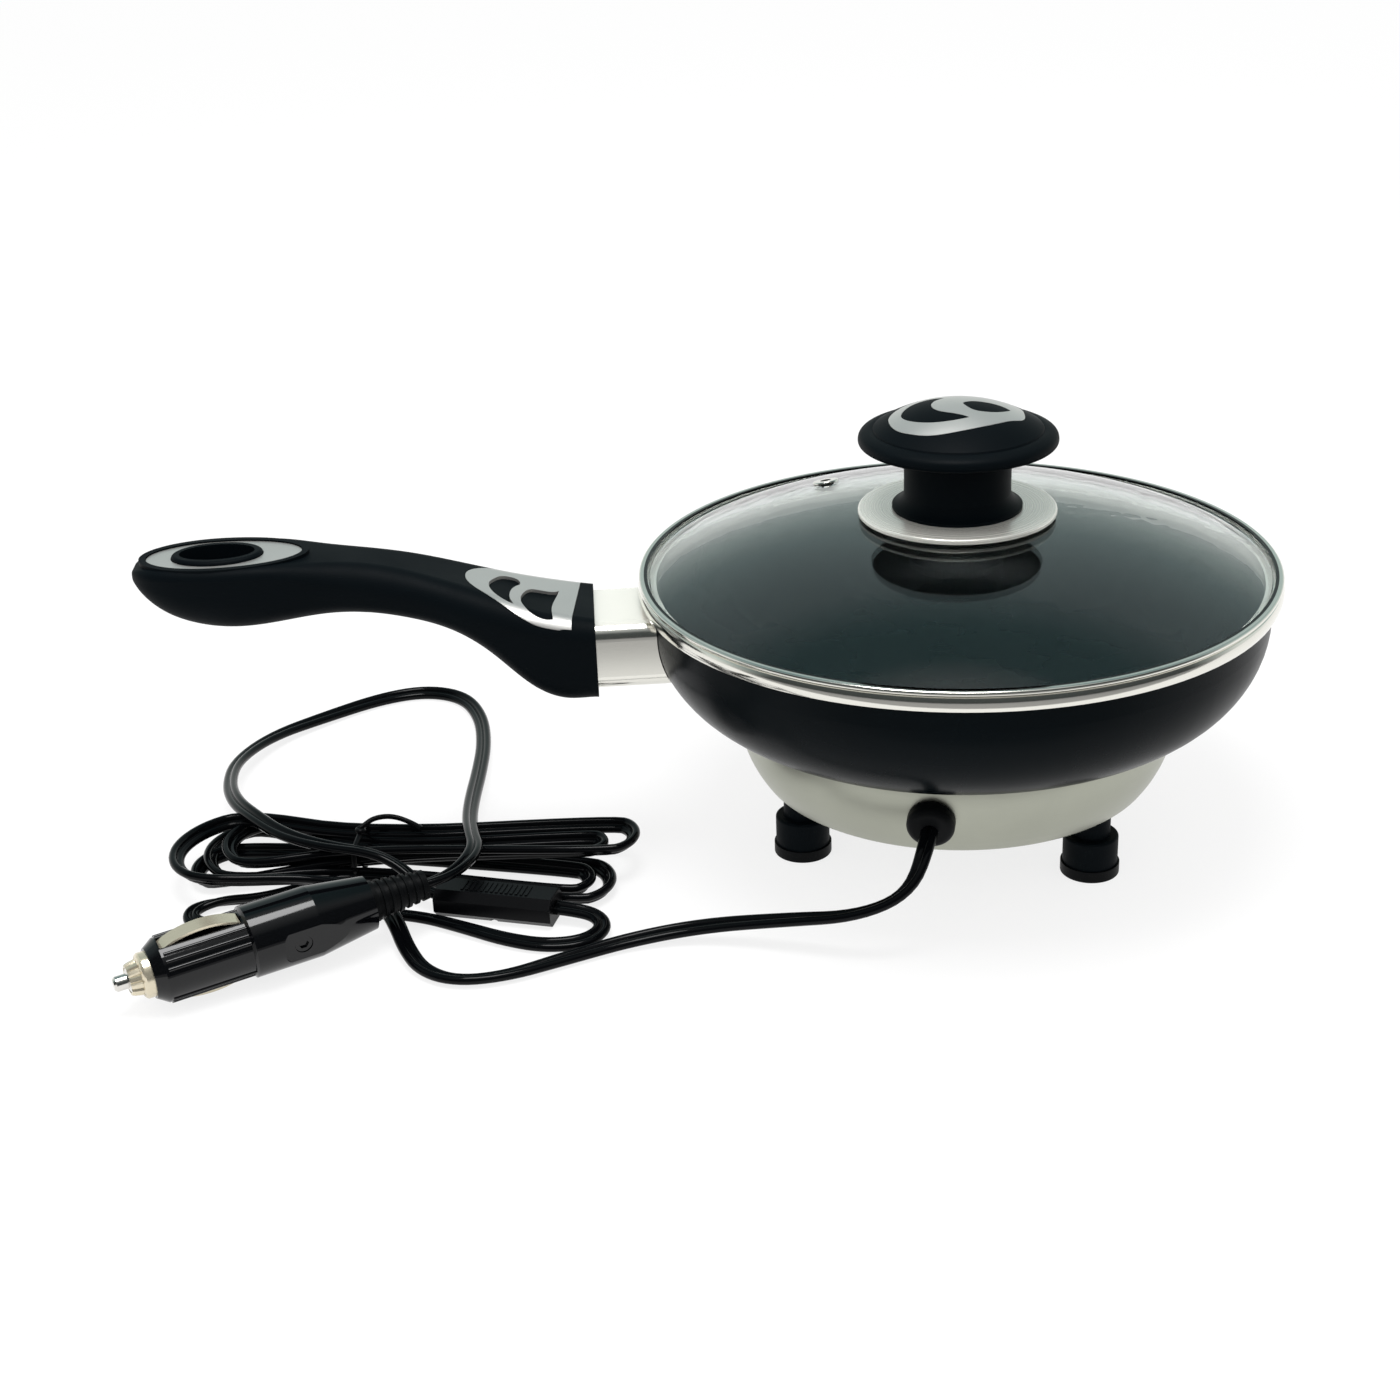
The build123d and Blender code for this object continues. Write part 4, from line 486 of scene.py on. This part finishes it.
def pan_finish(finishes):
    """Satin coat outside, non-stick coat inside, parted at the middle of the wall, and a bare brim inside."""
    material = new_finish(
        "Pan coat", finishes.coat, scale=1500.0, smooth=0.24, rough=0.32, relief=0.03, Specular_IOR_Level=0.05
    )
    tree = material.node_tree
    radius, height = axis_place(tree)
    out = math_node(tree, "MAXIMUM", math_node(tree, "SUBTRACT", radius, PAN_FLAT_R), 0.0)
    down = math_node(tree, "MINIMUM", math_node(tree, "SUBTRACT", height, PAN_BEND_Z), 0.0)
    out_squared = math_node(tree, "MULTIPLY", out, out)
    down_squared = math_node(tree, "MULTIPLY", down, down)
    reach = math_node(tree, "SQRT", math_node(tree, "ADD", out_squared, down_squared))
    inside = math_node(tree, "LESS_THAN", reach, PAN_MID_BEND_R)
    second_tint(tree, inside, finishes.nonstick)
    bare = math_node(tree, "MULTIPLY", inside, math_node(tree, "GREATER_THAN", height, BARE_BRIM_Z))
    second_tint(tree, bare, finishes.silver)
    return material


def part_metal(tree, mask, drop):
    """Take a share of the metal look off the masked part of a finish, as brushing does."""
    metal = math_node(tree, "SUBTRACT", 1.0, math_node(tree, "MULTIPLY", mask, drop))
    tree.links.new(metal, tree.nodes["Principled BSDF"].inputs["Metallic"])


POLISH = dict(
    scale=2400.0, smooth=0.10, rough=0.17, relief=0.02, grain=turned_grain, shade=0.95, Metallic=1.0
)
GUARD_POLISH = {**POLISH, "smooth": 0.12, "rough": 0.2}


def rim_finish(finishes):
    """Polished steel with painted shade in the channel that holds the glass, and dull on the skirt inside the
    pan.
    """
    material = new_finish("Rim steel", finishes.polished, **POLISH)
    tree = material.node_tree
    radius, height = axis_place(tree)
    inner = math_node(tree, "LESS_THAN", radius, CHANNEL_R)
    channel = math_node(tree, "MULTIPLY", inner, math_node(tree, "GREATER_THAN", height, CHANNEL_Z))
    # Painted shade: the channel under the glass's edge is coloured near black
    second_tint(tree, channel, CHANNEL_PAINTED_SHADE)
    skirt = math_node(tree, "MULTIPLY", inner, math_node(tree, "LESS_THAN", height, CHANNEL_Z))
    part_metal(tree, skirt, SKIRT_DULLED)
    return material


def guard_finish(finishes):
    """Polished steel with a brushed top."""
    material = new_finish("Guard steel", finishes.polished, **GUARD_POLISH)
    tree = material.node_tree
    height = axis_place(tree)[1]
    part_metal(tree, math_node(tree, "GREATER_THAN", height, GUARD_TOP_Z), GUARD_TOP_DULLED)
    return material


def glass_finish(finishes):
    """Clear lid glass with the faintest haze."""
    return new_finish(
        "Lid glass",
        finishes.glass,
        scale=60.0,
        smooth=0.004,
        rough=0.008,
        relief=0.0,
        shade=0.97,
        IOR=1.5,
        Transmission_Weight=1.0,
    )


FINISH_OF_NODES = {
    "Soft black": ("handle_grip", "knob_stem", "knob_cap", "foot_post_1", "foot_post_2", "foot_post_3"),
    "Silver trim": ("handle_front_inlay", "handle_rear_bezel", "knob_inlay"),
    "Polished steel": ("vent_eyelet",),
    "Satin steel": ("base_cup",),
    "Disc steel": ("knob_disc",),
    "Rubber": ("foot_pad_1", "foot_pad_2", "foot_pad_3", "cord_grommet", "plug_relief", "lid_washer"),
    "Lead vinyl": ("inner_lead",),
    "Gloss black": ("plug_shell_front", "plug_shell_back", "plug_screw"),
    "Fuse holder black": ("case_upper", "case_lower"),
    "Pale gold": ("plug_contact_upper", "plug_contact_lower", "case_clips"),
    "Nickel": ("plug_pin",),
    "Plain steel": (
        "handle_tongue", "handle_screw", "knob_screw", "base_stud", "base_nut", "heating_element",
        "element_clamp", "reflector", "thermal_cutout", "foot_screws", "case_screws", "plug_spring",
        "heat_plate",
    ),
    "Ceramic": ("terminal_block", "case_fuse", "plug_fuse"),
}


def dress(material, *names):
    """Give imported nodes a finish."""
    for name in names:
        for slot in NODES[name].material_slots:
            slot.material = material


class SKILLET_OT_finishes(bpy.types.Operator):
    """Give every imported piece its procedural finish"""

    bl_idname = "skillet.finishes"
    bl_label = "Finish the packed pieces"

    def execute(self, context):
        tones = context.scene.skillet_finishes
        made = [
            new_finish("Soft black", tones.soft, scale=2600.0, smooth=0.46, rough=0.58, relief=0.16,
                       Specular_IOR_Level=0.05),
            new_finish("Silver trim", tones.silver, scale=1800.0, smooth=0.34, rough=0.44, relief=0.05,
                       shade=0.94, Metallic=0.85),
            new_finish("Polished steel", tones.polished, **POLISH),
            new_finish("Satin steel", tones.satin, scale=3800.0, smooth=0.30, rough=0.42, relief=0.06,
                       grain=turned_grain, shade=0.92, Metallic=1.0),
            new_finish("Disc steel", tones.polished, scale=3800.0, smooth=0.25, rough=0.29, relief=0.01,
                       grain=turned_grain, shade=0.95, Metallic=0.55),
            new_finish("Rubber", tones.rubber, scale=3200.0, smooth=0.4, rough=0.52, relief=0.2,
                       Specular_IOR_Level=0.08),
            new_finish("Lead vinyl", tones.vinyl, scale=1400.0, smooth=0.07, rough=0.12, relief=0.04,
                       Specular_IOR_Level=0.12),
            new_finish("Gloss black", tones.gloss, scale=700.0, smooth=0.05, rough=0.11, relief=0.02,
                       Specular_IOR_Level=0.38),
            new_finish("Fuse holder black", tones.gloss, scale=2200.0, smooth=0.3, rough=0.42, relief=0.14,
                       Specular_IOR_Level=0.12),
            new_finish("Pale gold", tones.pale_gold, scale=1600.0, smooth=0.16, rough=0.28, relief=0.04,
                       shade=0.9, Metallic=0.75),
            new_finish("Nickel", tones.nickel, scale=1600.0, smooth=0.12, rough=0.22, relief=0.03,
                       shade=0.9, Metallic=1.0),
            new_finish("Plain steel", tones.satin, scale=1200.0, smooth=0.3, rough=0.45, relief=0.06,
                       Metallic=1.0),
            new_finish("Ceramic", tones.ceramic, scale=1800.0, smooth=0.4, rough=0.55, relief=0.1,
                       shade=0.92),
        ]
        for material in made:
            dress(material, *FINISH_OF_NODES[material.name])
        dress(pan_finish(tones), "pan_shell")
        dress(rim_finish(tones), "lid_rim")
        dress(guard_finish(tones), "flame_guard")
        dress(glass_finish(tones), "lid_glass")
        return {"FINISHED"}


# Lead, tie and plug nut


def hank_point(along, across, height):
    """Point of the hank in millimetres, from its tied waist."""
    ax, ay = HANK_AXIS
    return (HANK_WAIST[0] + ax * along - ay * across, HANK_WAIST[1] + ay * along + ax * across, height)


def lane(spacing, index):
    """Distance of a lane from the hank's middle line."""
    return spacing[0] + spacing[1] * index


def turn_points(end, side, near, far, height, fan):
    """Points round one end of the hank, from one lane to the other, fanned out from the waist by a slope."""
    middle = (far + near) / 2
    radius = TURN_SWELL * abs(far - near) / 2
    points = []
    for step in range(TURN_STEPS):
        angle = math.pi * (step + 0.5) / TURN_STEPS
        across = middle + radius * math.cos(angle) * (1 if near > far else -1)
        along = end + side * radius * math.sin(angle)
        points.append(hank_point(along, across + fan * along, height))
    return points


def hank_route():
    """Points of the hank's loops: round the left end, through the waist, round the right end and back."""
    high = HANK_LOW + HANK_LAYER
    route = [hank_point(*HANK_ENTRY, high)]
    for loop, height in enumerate((high, high, HANK_LOW, HANK_LOW)):
        near = -lane(LANES_LEFT, NEAR_LANES[loop])
        far = lane(LANES_LEFT, FAR_LANES[loop])
        end = HANK_LEFT + LEFT_ENDS[loop]
        route += turn_points(end, -1, near, far, height + LEFT_RISE[loop], LEFT_FAN[loop])
        route.append(hank_point(0.0, *WAIST_FAR[loop]))
        far = lane(LANES_RIGHT, FAR_LANES[loop])
        near = -lane(LANES_RIGHT, NEAR_LANES[loop + 1])
        end = HANK_RIGHT + RIGHT_ENDS[loop]
        route += turn_points(end, 1, far, near, height + RIGHT_RISE[loop], RIGHT_FAN[loop])
        route.append(hank_point(0.0, *WAIST_NEAR[loop]))
    route += [hank_point(*place) for place in HANK_LEAVING]
    route.append(HANK_EXIT)
    return route


def sway(amount, route):
    """Roll of the flat lead at each point of a stretch."""
    swing, pace, start = amount
    return [swing * math.sin(pace * step + start) for step in range(len(route))]


def route_curve(name, route, rolls, steps):
    """Curve object with one smooth spline shaped by a route's control points."""
    curve = bpy.data.curves.new(name, "CURVE")
    curve.dimensions = "3D"
    curve.twist_mode = "Z_UP"
    curve.resolution_u = steps
    spline = curve.splines.new("NURBS")
    spline.points.add(len(route) - 1)
    for point, place, roll in zip(spline.points, route, rolls):
        point.co = (place[0] * MM, place[1] * MM, place[2] * MM, 1.0)
        point.tilt = roll
    spline.order_u = SPLINE_ORDER
    spline.use_endpoint_u = True
    line = bpy.data.objects.new(name, curve)
    bpy.context.collection.objects.link(line)
    return line


def mesh_of(line):
    """Mesh of a curve object as it now stands."""
    depsgraph = bpy.context.evaluated_depsgraph_get()
    return bpy.data.meshes.new_from_object(line.evaluated_get(depsgraph))


def twin_profile(lead):
    """Closed section of two round cores joined by a web, as a curve object."""
    core = lead.thickness / 2
    offset = lead.width / 2 - core
    dip = math.asin(lead.web / core)
    points = []
    for side in (1, -1):
        for step in range(CORE_STEPS + 1):
            angle = -(math.pi - dip) + 2 * (math.pi - dip) * step / CORE_STEPS
            points.append((side * (offset + core * math.cos(angle)), side * core * math.sin(angle)))
    curve = bpy.data.curves.new("twin_profile", "CURVE")
    spline = curve.splines.new("POLY")
    spline.points.add(len(points) - 1)
    for point, (across, up) in zip(spline.points, points):
        point.co = (across, up, 0.0, 1.0)
    spline.use_cyclic_u = True
    profile = bpy.data.objects.new("twin_profile", curve)
    bpy.context.collection.objects.link(profile)
    return profile


def discard(*things):
    """Remove helper curves and their data."""
    for thing in things:
        data = thing.data
        bpy.data.objects.remove(thing)
        bpy.data.curves.remove(data)


def new_piece(name, mesh, smooth_angle=40.0):
    """Object at the origin for a finished mesh, with smooth faces and crisp edges."""
    mesh.shade_smooth()
    mesh.set_sharp_from_angle(angle=math.radians(smooth_angle))
    piece = bpy.data.objects.new(name, mesh)
    bpy.context.collection.objects.link(piece)
    return piece


def tube_piece(name, route, rolls, lead):
    """Flat twin lead swept along a route, and the points of its middle line."""
    line = route_curve(name + "_route", route, rolls, lead.steps)
    track = mesh_of(line)
    path = []
    for vertex in track.vertices:
        if not path or (vertex.co - path[-1]).length > PATH_STEP:
            path.append(vertex.co.copy())
    bpy.data.meshes.remove(track)
    profile = twin_profile(lead)
    line.data.bevel_mode = "OBJECT"
    line.data.bevel_object = profile
    line.data.use_fill_caps = True
    mesh = mesh_of(line)
    discard(line, profile)
    mesh.name = name
    return new_piece(name, mesh), path


def coat_piece(piece, finish, body, slot, *nodes):
    """Finish, body and replaced nodes of a new piece; the slot argument is not used."""
    piece.data.materials.clear()
    piece.data.materials.append(bpy.data.materials[finish])
    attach(piece, body)
    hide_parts(*nodes)


class SKILLET_OT_lead(bpy.types.Operator):
    """Lay the flat twin lead: its run and hank up to the fuse case, then the open loop to the plug"""

    bl_idname = "skillet.lead"
    bl_label = "Lay the lead"

    def execute(self, context):
        lead = context.scene.skillet_lead
        hank = hank_route()
        route = RUN_ROUTE + hank + LINK_ROUTE
        lean = [lead.hank_roll + roll for roll in sway(HANK_SWAY, hank)]
        rolls = sway(RUN_SWAY, RUN_ROUTE) + lean + sway(LINK_SWAY, LINK_ROUTE)
        main, path = tube_piece("lead_main", route, rolls, lead)
        coat_piece(main, "Lead vinyl", "skillet", "lead_black", "cord_run", "cord_hank", "cord_link")
        loop, path = tube_piece("lead_loop", LOOP_ROUTE, sway(LOOP_SWAY, LOOP_ROUTE), lead)
        coat_piece(loop, "Lead vinyl", "skillet", "lead_black", "cord_loop")
        return {"FINISHED"}


# Near side, far side and top of the tie, in millimetres from the waist
TIE_NEAR = -11.2
TIE_FAR = 8.8
TIE_TOP = 13.6
# Along, across and up from the waist: once round it, a twist on top, and the loose tail
TIE_ROUTE = (
    (0.0, 0.0, TIE_TOP + 0.4),
    (0.3, TIE_NEAR + 3.0, TIE_TOP),
    (0.5, TIE_NEAR, TIE_TOP - 2.0),
    (0.5, TIE_NEAR, 2.0),
    (0.4, TIE_NEAR + 3.0, 1.0),
    (0.0, 0.0, 1.0),
    (-0.4, TIE_FAR - 3.0, 1.0),
    (-0.5, TIE_FAR, 2.0),
    (-0.5, TIE_FAR, TIE_TOP - 2.0),
    (-0.3, TIE_FAR - 3.0, TIE_TOP),
    (0.3, 1.0, TIE_TOP + 0.4),
    (1.4, -0.6, TIE_TOP + 1.2),
    (0.4, -2.0, TIE_TOP + 1.6),
    (-1.2, -0.6, TIE_TOP + 1.4),
    (0.6, 1.2, TIE_TOP + 2.0),
    (3.5, 4.0, TIE_TOP + 3.6),
    (9.0, 7.0, TIE_TOP + 3.0),
    (16.0, 6.0, TIE_TOP + 0.9),
    (19.0, 4.0, TIE_TOP + 0.2),
)
TIE_RING_STEPS = 3


class SKILLET_OT_tie(bpy.types.Operator):
    """Bend the wire tie round the hank's waist and leave its twisted tail"""

    bl_idname = "skillet.tie"
    bl_label = "Tie the hank"

    def execute(self, context):
        lead = context.scene.skillet_lead
        route = [hank_point(*place) for place in TIE_ROUTE]
        line = route_curve("tie_route", route, [0.0] * len(route), lead.steps)
        line.data.bevel_depth = lead.tie_radius
        line.data.bevel_resolution = TIE_RING_STEPS
        line.data.use_fill_caps = True
        mesh = mesh_of(line)
        discard(line)
        mesh.name = "tie_wire"
        coat_piece(new_piece("tie_wire", mesh), "Fuse holder black", "skillet", "lead_black", "cord_tie")
        return {"FINISHED"}


# Ends of the plug's axis
PLUG_TIP = Vector((-257.6, -88.6, 11.0)) * MM
PLUG_END = Vector((-170.3, -47.7, 15.0)) * MM
# Distance along the axis and radius, in millimetres; grooves are cut where the radius lies in RIDGED
NUT_OUTLINE = (
    (4.2, 3.85), (4.2, 4.5), (5.0, 4.9), (7.4, 5.4), (7.9, 6.4), (8.5, 6.9), (10.6, 6.9), (10.6, 3.85),
)
RIDGED = (4.2, 6.0)
# A ridge keeps its height for this share of its pitch to each side of its middle
RIDGE_HALF_SHARE = 0.26
GROOVE_SHRINK = 0.91
STEPS_PER_RIDGE = 4
NUT_EDGE_ANGLE = 25.0
WELD = 1e-6


class SKILLET_OT_plug_nut(bpy.types.Operator):
    """Turn the plug's nut and cut the ridges round its nose"""

    bl_idname = "skillet.plug_nut"
    bl_label = "Turn the plug's nut"

    def execute(self, context):
        ridges = context.scene.skillet_lead.knurls
        axis = (PLUG_END - PLUG_TIP).normalized()
        side = axis.cross(Vector((0, 0, 1))).normalized()
        stand = Matrix.Translation(PLUG_TIP) @ Matrix((side, axis.cross(side), axis)).transposed().to_4x4()
        shape = bmesh.new()
        outline = [shape.verts.new((radius * MM, 0.0, along * MM)) for along, radius in NUT_OUTLINE]
        edges = [shape.edges.new(pair) for pair in zip(outline, outline[1:] + outline[:1])]
        bmesh.ops.spin(
            shape,
            geom=outline + edges,
            axis=(0, 0, 1),
            cent=(0, 0, 0),
            angle=2 * math.pi,
            steps=STEPS_PER_RIDGE * ridges,
            use_merge=True,
        )
        bmesh.ops.remove_doubles(shape, verts=shape.verts, dist=WELD)
        for vertex in shape.verts:
            turn = math.atan2(vertex.co.y, vertex.co.x) / (2 * math.pi) * ridges
            radius = vertex.co.xy.length / MM
            if RIDGED[0] < radius < RIDGED[1] and abs(turn - round(turn)) > RIDGE_HALF_SHARE:
                vertex.co.xy *= GROOVE_SHRINK
        bmesh.ops.recalc_face_normals(shape, faces=shape.faces)
        bmesh.ops.transform(shape, matrix=stand, verts=shape.verts)
        mesh = bpy.data.meshes.new("nut_knurled")
        shape.to_mesh(mesh)
        shape.free()
        nut = new_piece("nut_knurled", mesh, NUT_EDGE_ANGLE)
        coat_piece(nut, "Pale gold", "skillet", "pale_gold", "plug_nut")
        return {"FINISHED"}


# Stage

# Lamps, in metres
OVERHEAD_LAMP = dict(place=(-0.12, -0.14, 1.15), aim=(-0.08, 0.0, 0.05), size=0.5, mirrored=True)
FRONT_LAMP = dict(place=(-0.7, -1.1, 0.9), aim=(-0.08, 0.0, 0.05), size=0.7, mirrored=False)
# Camera: sensor in millimetres, nearest distance in metres
SENSOR_WIDTH = 36.0
NEAR_CLIP = 0.05
PAPER = {"Roughness": 0.9, "Specular IOR Level": 0.1}
# The paper ends towards the camera; mirrors see a dark room beyond it
DARK_EDGE = {"From Min": -0.19, "From Max": -0.172, "To Min": 0.1, "To Max": 1.0}
# What mirrors see of the room, by height: far side of the pan, and the dim side by the camera
FAR_ROOM = (
    (0.12, (0.8, 0.84, 0.82, 1.0)),
    (0.28, (0.56, 0.66, 0.64, 1.0)),
    (0.42, (0.38, 0.48, 0.48, 1.0)),
    (0.6, (0.33, 0.41, 0.42, 1.0)),
    (0.7, (0.31, 0.39, 0.4, 1.0)),
    (0.82, (0.15, 0.25, 0.26, 1.0)),
    (0.9, (0.13, 0.23, 0.24, 1.0)),
    (0.98, (0.6, 0.62, 0.62, 1.0)),
)
NEAR_ROOM = (
    (0.0, (0.05, 0.055, 0.055, 1.0)),
    (0.6, (0.06, 0.07, 0.07, 1.0)),
    (0.95, (0.6, 0.62, 0.62, 1.0)),
)
ROOM_SIDES = {"From Min": -0.25, "From Max": 0.15}
WHITE = (1.0, 1.0, 1.0, 1.0)
# A depth below this is a ray that has not bounced that way yet
NO_BOUNCE = 0.5


def seen_rays(tree):
    """Mask of camera, mirror and glass rays that have met no dull surface yet."""
    path = put(tree, "ShaderNodeLightPath")
    mirrored = math_node(tree, "MAXIMUM", path.outputs["Is Glossy Ray"], path.outputs["Is Transmission Ray"])
    looking = math_node(tree, "MAXIMUM", path.outputs["Is Camera Ray"], mirrored)
    direct = math_node(tree, "LESS_THAN", path.outputs["Diffuse Depth"], NO_BOUNCE)
    return math_node(tree, "MULTIPLY", looking, direct)


def paper_finish(stage):
    """White paper that keeps a share of its shading; in mirrors it is dark beyond its near edge."""
    material = bpy.data.materials.new("Studio paper")
    material.use_nodes = True
    tree = material.node_tree
    shader = tree.nodes["Principled BSDF"]
    shader.inputs["Base Color"].default_value = opaque(stage.floor_colour)
    for name, value in PAPER.items():
        shader.inputs[name].default_value = value
    glow = put(tree, "ShaderNodeEmission")
    place = put(tree, "ShaderNodeTexCoord")
    split = put(tree, "ShaderNodeSeparateXYZ")
    tree.links.new(place.outputs["Object"], split.inputs[0])
    edge = map_range(tree, split.outputs["Y"], DARK_EDGE)
    path = put(tree, "ShaderNodeLightPath")
    plain = math_node(tree, "SUBTRACT", 1.0, path.outputs["Is Glossy Ray"])
    tree.links.new(math_node(tree, "MAXIMUM", plain, edge), glow.inputs["Strength"])
    blend = put(tree, "ShaderNodeMixShader")
    tree.links.new(math_node(tree, "MULTIPLY", seen_rays(tree), 1.0 - stage.floor_shade), blend.inputs[0])
    tree.links.new(shader.outputs[0], blend.inputs[1])
    tree.links.new(glow.outputs[0], blend.inputs[2])
    tree.links.new(blend.outputs[0], tree.nodes["Material Output"].inputs["Surface"])
    return material


def room_ramp(tree, height, stops):
    """Colours of one side of the room by height."""
    ramp = put(tree, "ShaderNodeValToRGB")
    while len(ramp.color_ramp.elements) < len(stops):
        ramp.color_ramp.elements.new(0.5)
    for element, (position, colour) in zip(ramp.color_ramp.elements, stops):
        element.position = position
        element.color = colour
    tree.links.new(height, ramp.inputs["Fac"])
    return ramp.outputs["Color"]


def room_world(stage):
    """Even light and a white backdrop; mirrors see a pale far horizon and a dim room above and in front."""
    world = bpy.data.worlds.new("Studio room")
    world.use_nodes = True
    tree = world.node_tree
    even = tree.nodes["Background"]
    even.inputs["Color"].default_value = WHITE
    even.inputs["Strength"].default_value = stage.room_light
    place = put(tree, "ShaderNodeTexCoord")
    split = put(tree, "ShaderNodeSeparateXYZ")
    tree.links.new(place.outputs["Generated"], split.inputs[0])
    sides = put(tree, "ShaderNodeMix", data_type="RGBA")
    tree.links.new(map_range(tree, split.outputs["Y"], ROOM_SIDES), sides.inputs["Factor"])
    tree.links.new(room_ramp(tree, split.outputs["Z"], NEAR_ROOM), sides.inputs["A"])
    tree.links.new(room_ramp(tree, split.outputs["Z"], FAR_ROOM), sides.inputs["B"])
    path = put(tree, "ShaderNodeLightPath")
    backdrop = put(tree, "ShaderNodeMix", data_type="RGBA")
    backdrop.inputs["B"].default_value = WHITE
    unmirrored = math_node(tree, "LESS_THAN", path.outputs["Glossy Depth"], NO_BOUNCE)
    tree.links.new(unmirrored, backdrop.inputs["Factor"])
    tree.links.new(sides.outputs["Result"], backdrop.inputs["A"])
    shown = put(tree, "ShaderNodeBackground")
    tree.links.new(backdrop.outputs["Result"], shown.inputs["Color"])
    blend = put(tree, "ShaderNodeMixShader")
    tree.links.new(seen_rays(tree), blend.inputs[0])
    tree.links.new(even.outputs[0], blend.inputs[1])
    tree.links.new(shown.outputs[0], blend.inputs[2])
    tree.links.new(blend.outputs[0], tree.nodes["World Output"].inputs["Surface"])
    return world


def hang_lamp(name, power, place, aim, size, mirrored):
    """Square soft lamp aimed at a point, seen in mirrors or not."""
    lamp = bpy.data.lights.new(name, "AREA")
    lamp.size = size
    lamp.energy = power
    holder = bpy.data.objects.new(name, lamp)
    holder.location = place
    holder.rotation_euler = (Vector(aim) - Vector(place)).to_track_quat("-Z", "Y").to_euler()
    holder.visible_glossy = mirrored
    bpy.context.collection.objects.link(holder)


def set_camera(stage):
    """Camera at the photograph's distance, height, turn and roll."""
    camera = bpy.data.cameras.new("Camera")
    camera.lens = stage.lens
    camera.sensor_width = SENSOR_WIDTH
    camera.clip_start = NEAR_CLIP
    turn = Matrix.Rotation(stage.azimuth, 3, "Z")
    back = turn @ Vector((0.0, -math.cos(stage.elevation), math.sin(stage.elevation)))
    right = turn @ Vector((1.0, 0.0, 0.0))
    up = back.cross(right)
    lean = Matrix.Rotation(-stage.roll, 3, back)
    axes = Matrix((lean @ right, lean @ up, back)).transposed().to_4x4()
    holder = bpy.data.objects.new("Camera", camera)
    holder.matrix_world = Matrix.Translation(Vector(stage.target) + back * stage.distance) @ axes
    bpy.context.collection.objects.link(holder)
    bpy.context.scene.camera = holder


class SKILLET_OT_stage(bpy.types.Operator):
    """Set up the white floor, the lamps and the camera"""

    bl_idname = "skillet.stage"
    bl_label = "Set the stage"

    def execute(self, context):
        stage = context.scene.skillet_stage
        context.scene.view_settings.view_transform = "Standard"
        context.scene.world = room_world(stage)
        shape = bmesh.new()
        bmesh.ops.create_grid(shape, x_segments=1, y_segments=1, size=stage.floor_half)
        mesh = bpy.data.meshes.new("floor")
        shape.to_mesh(mesh)
        shape.free()
        mesh.materials.append(paper_finish(stage))
        floor = bpy.data.objects.new("floor", mesh)
        context.collection.objects.link(floor)
        hang_lamp("Overhead lamp", stage.overhead_power, **OVERHEAD_LAMP)
        hang_lamp("Front lamp", stage.front_power, **FRONT_LAMP)
        set_camera(stage)
        return {"FINISHED"}


class SKILLET_PT_studio(bpy.types.Panel):
    """Steps that dress the skillet, in order"""

    bl_label = "Skillet studio"
    bl_idname = "SKILLET_PT_studio"
    bl_space_type = "VIEW_3D"
    bl_region_type = "UI"
    bl_category = "Skillet"

    def draw(self, context):
        for step in STEPS:
            self.layout.operator(step.bl_idname)


STEPS = (SKILLET_OT_stage, SKILLET_OT_finishes, SKILLET_OT_plug_nut, SKILLET_OT_lead, SKILLET_OT_tie)
SETTINGS = {
    "skillet_stage": StageSettings,
    "skillet_finishes": FinishSettings,
    "skillet_lead": LeadSettings,
}


def register():
    """Register the settings, steps and panel."""
    for name, settings in SETTINGS.items():
        bpy.utils.register_class(settings)
        setattr(bpy.types.Scene, name, PointerProperty(type=settings))
    for step in STEPS + (SKILLET_PT_studio,):
        bpy.utils.register_class(step)


def unregister():
    """Take the panel, steps and settings away again."""
    for step in (SKILLET_PT_studio,) + STEPS[::-1]:
        bpy.utils.unregister_class(step)
    for name, settings in SETTINGS.items():
        delattr(bpy.types.Scene, name)
        bpy.utils.unregister_class(settings)


def main():
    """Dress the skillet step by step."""
    register()
    bpy.ops.skillet.stage()
    bpy.ops.skillet.finishes()
    bpy.ops.skillet.plug_nut()
    bpy.ops.skillet.lead()
    bpy.ops.skillet.tie()
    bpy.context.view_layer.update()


if __name__ == "__main__":
    main()
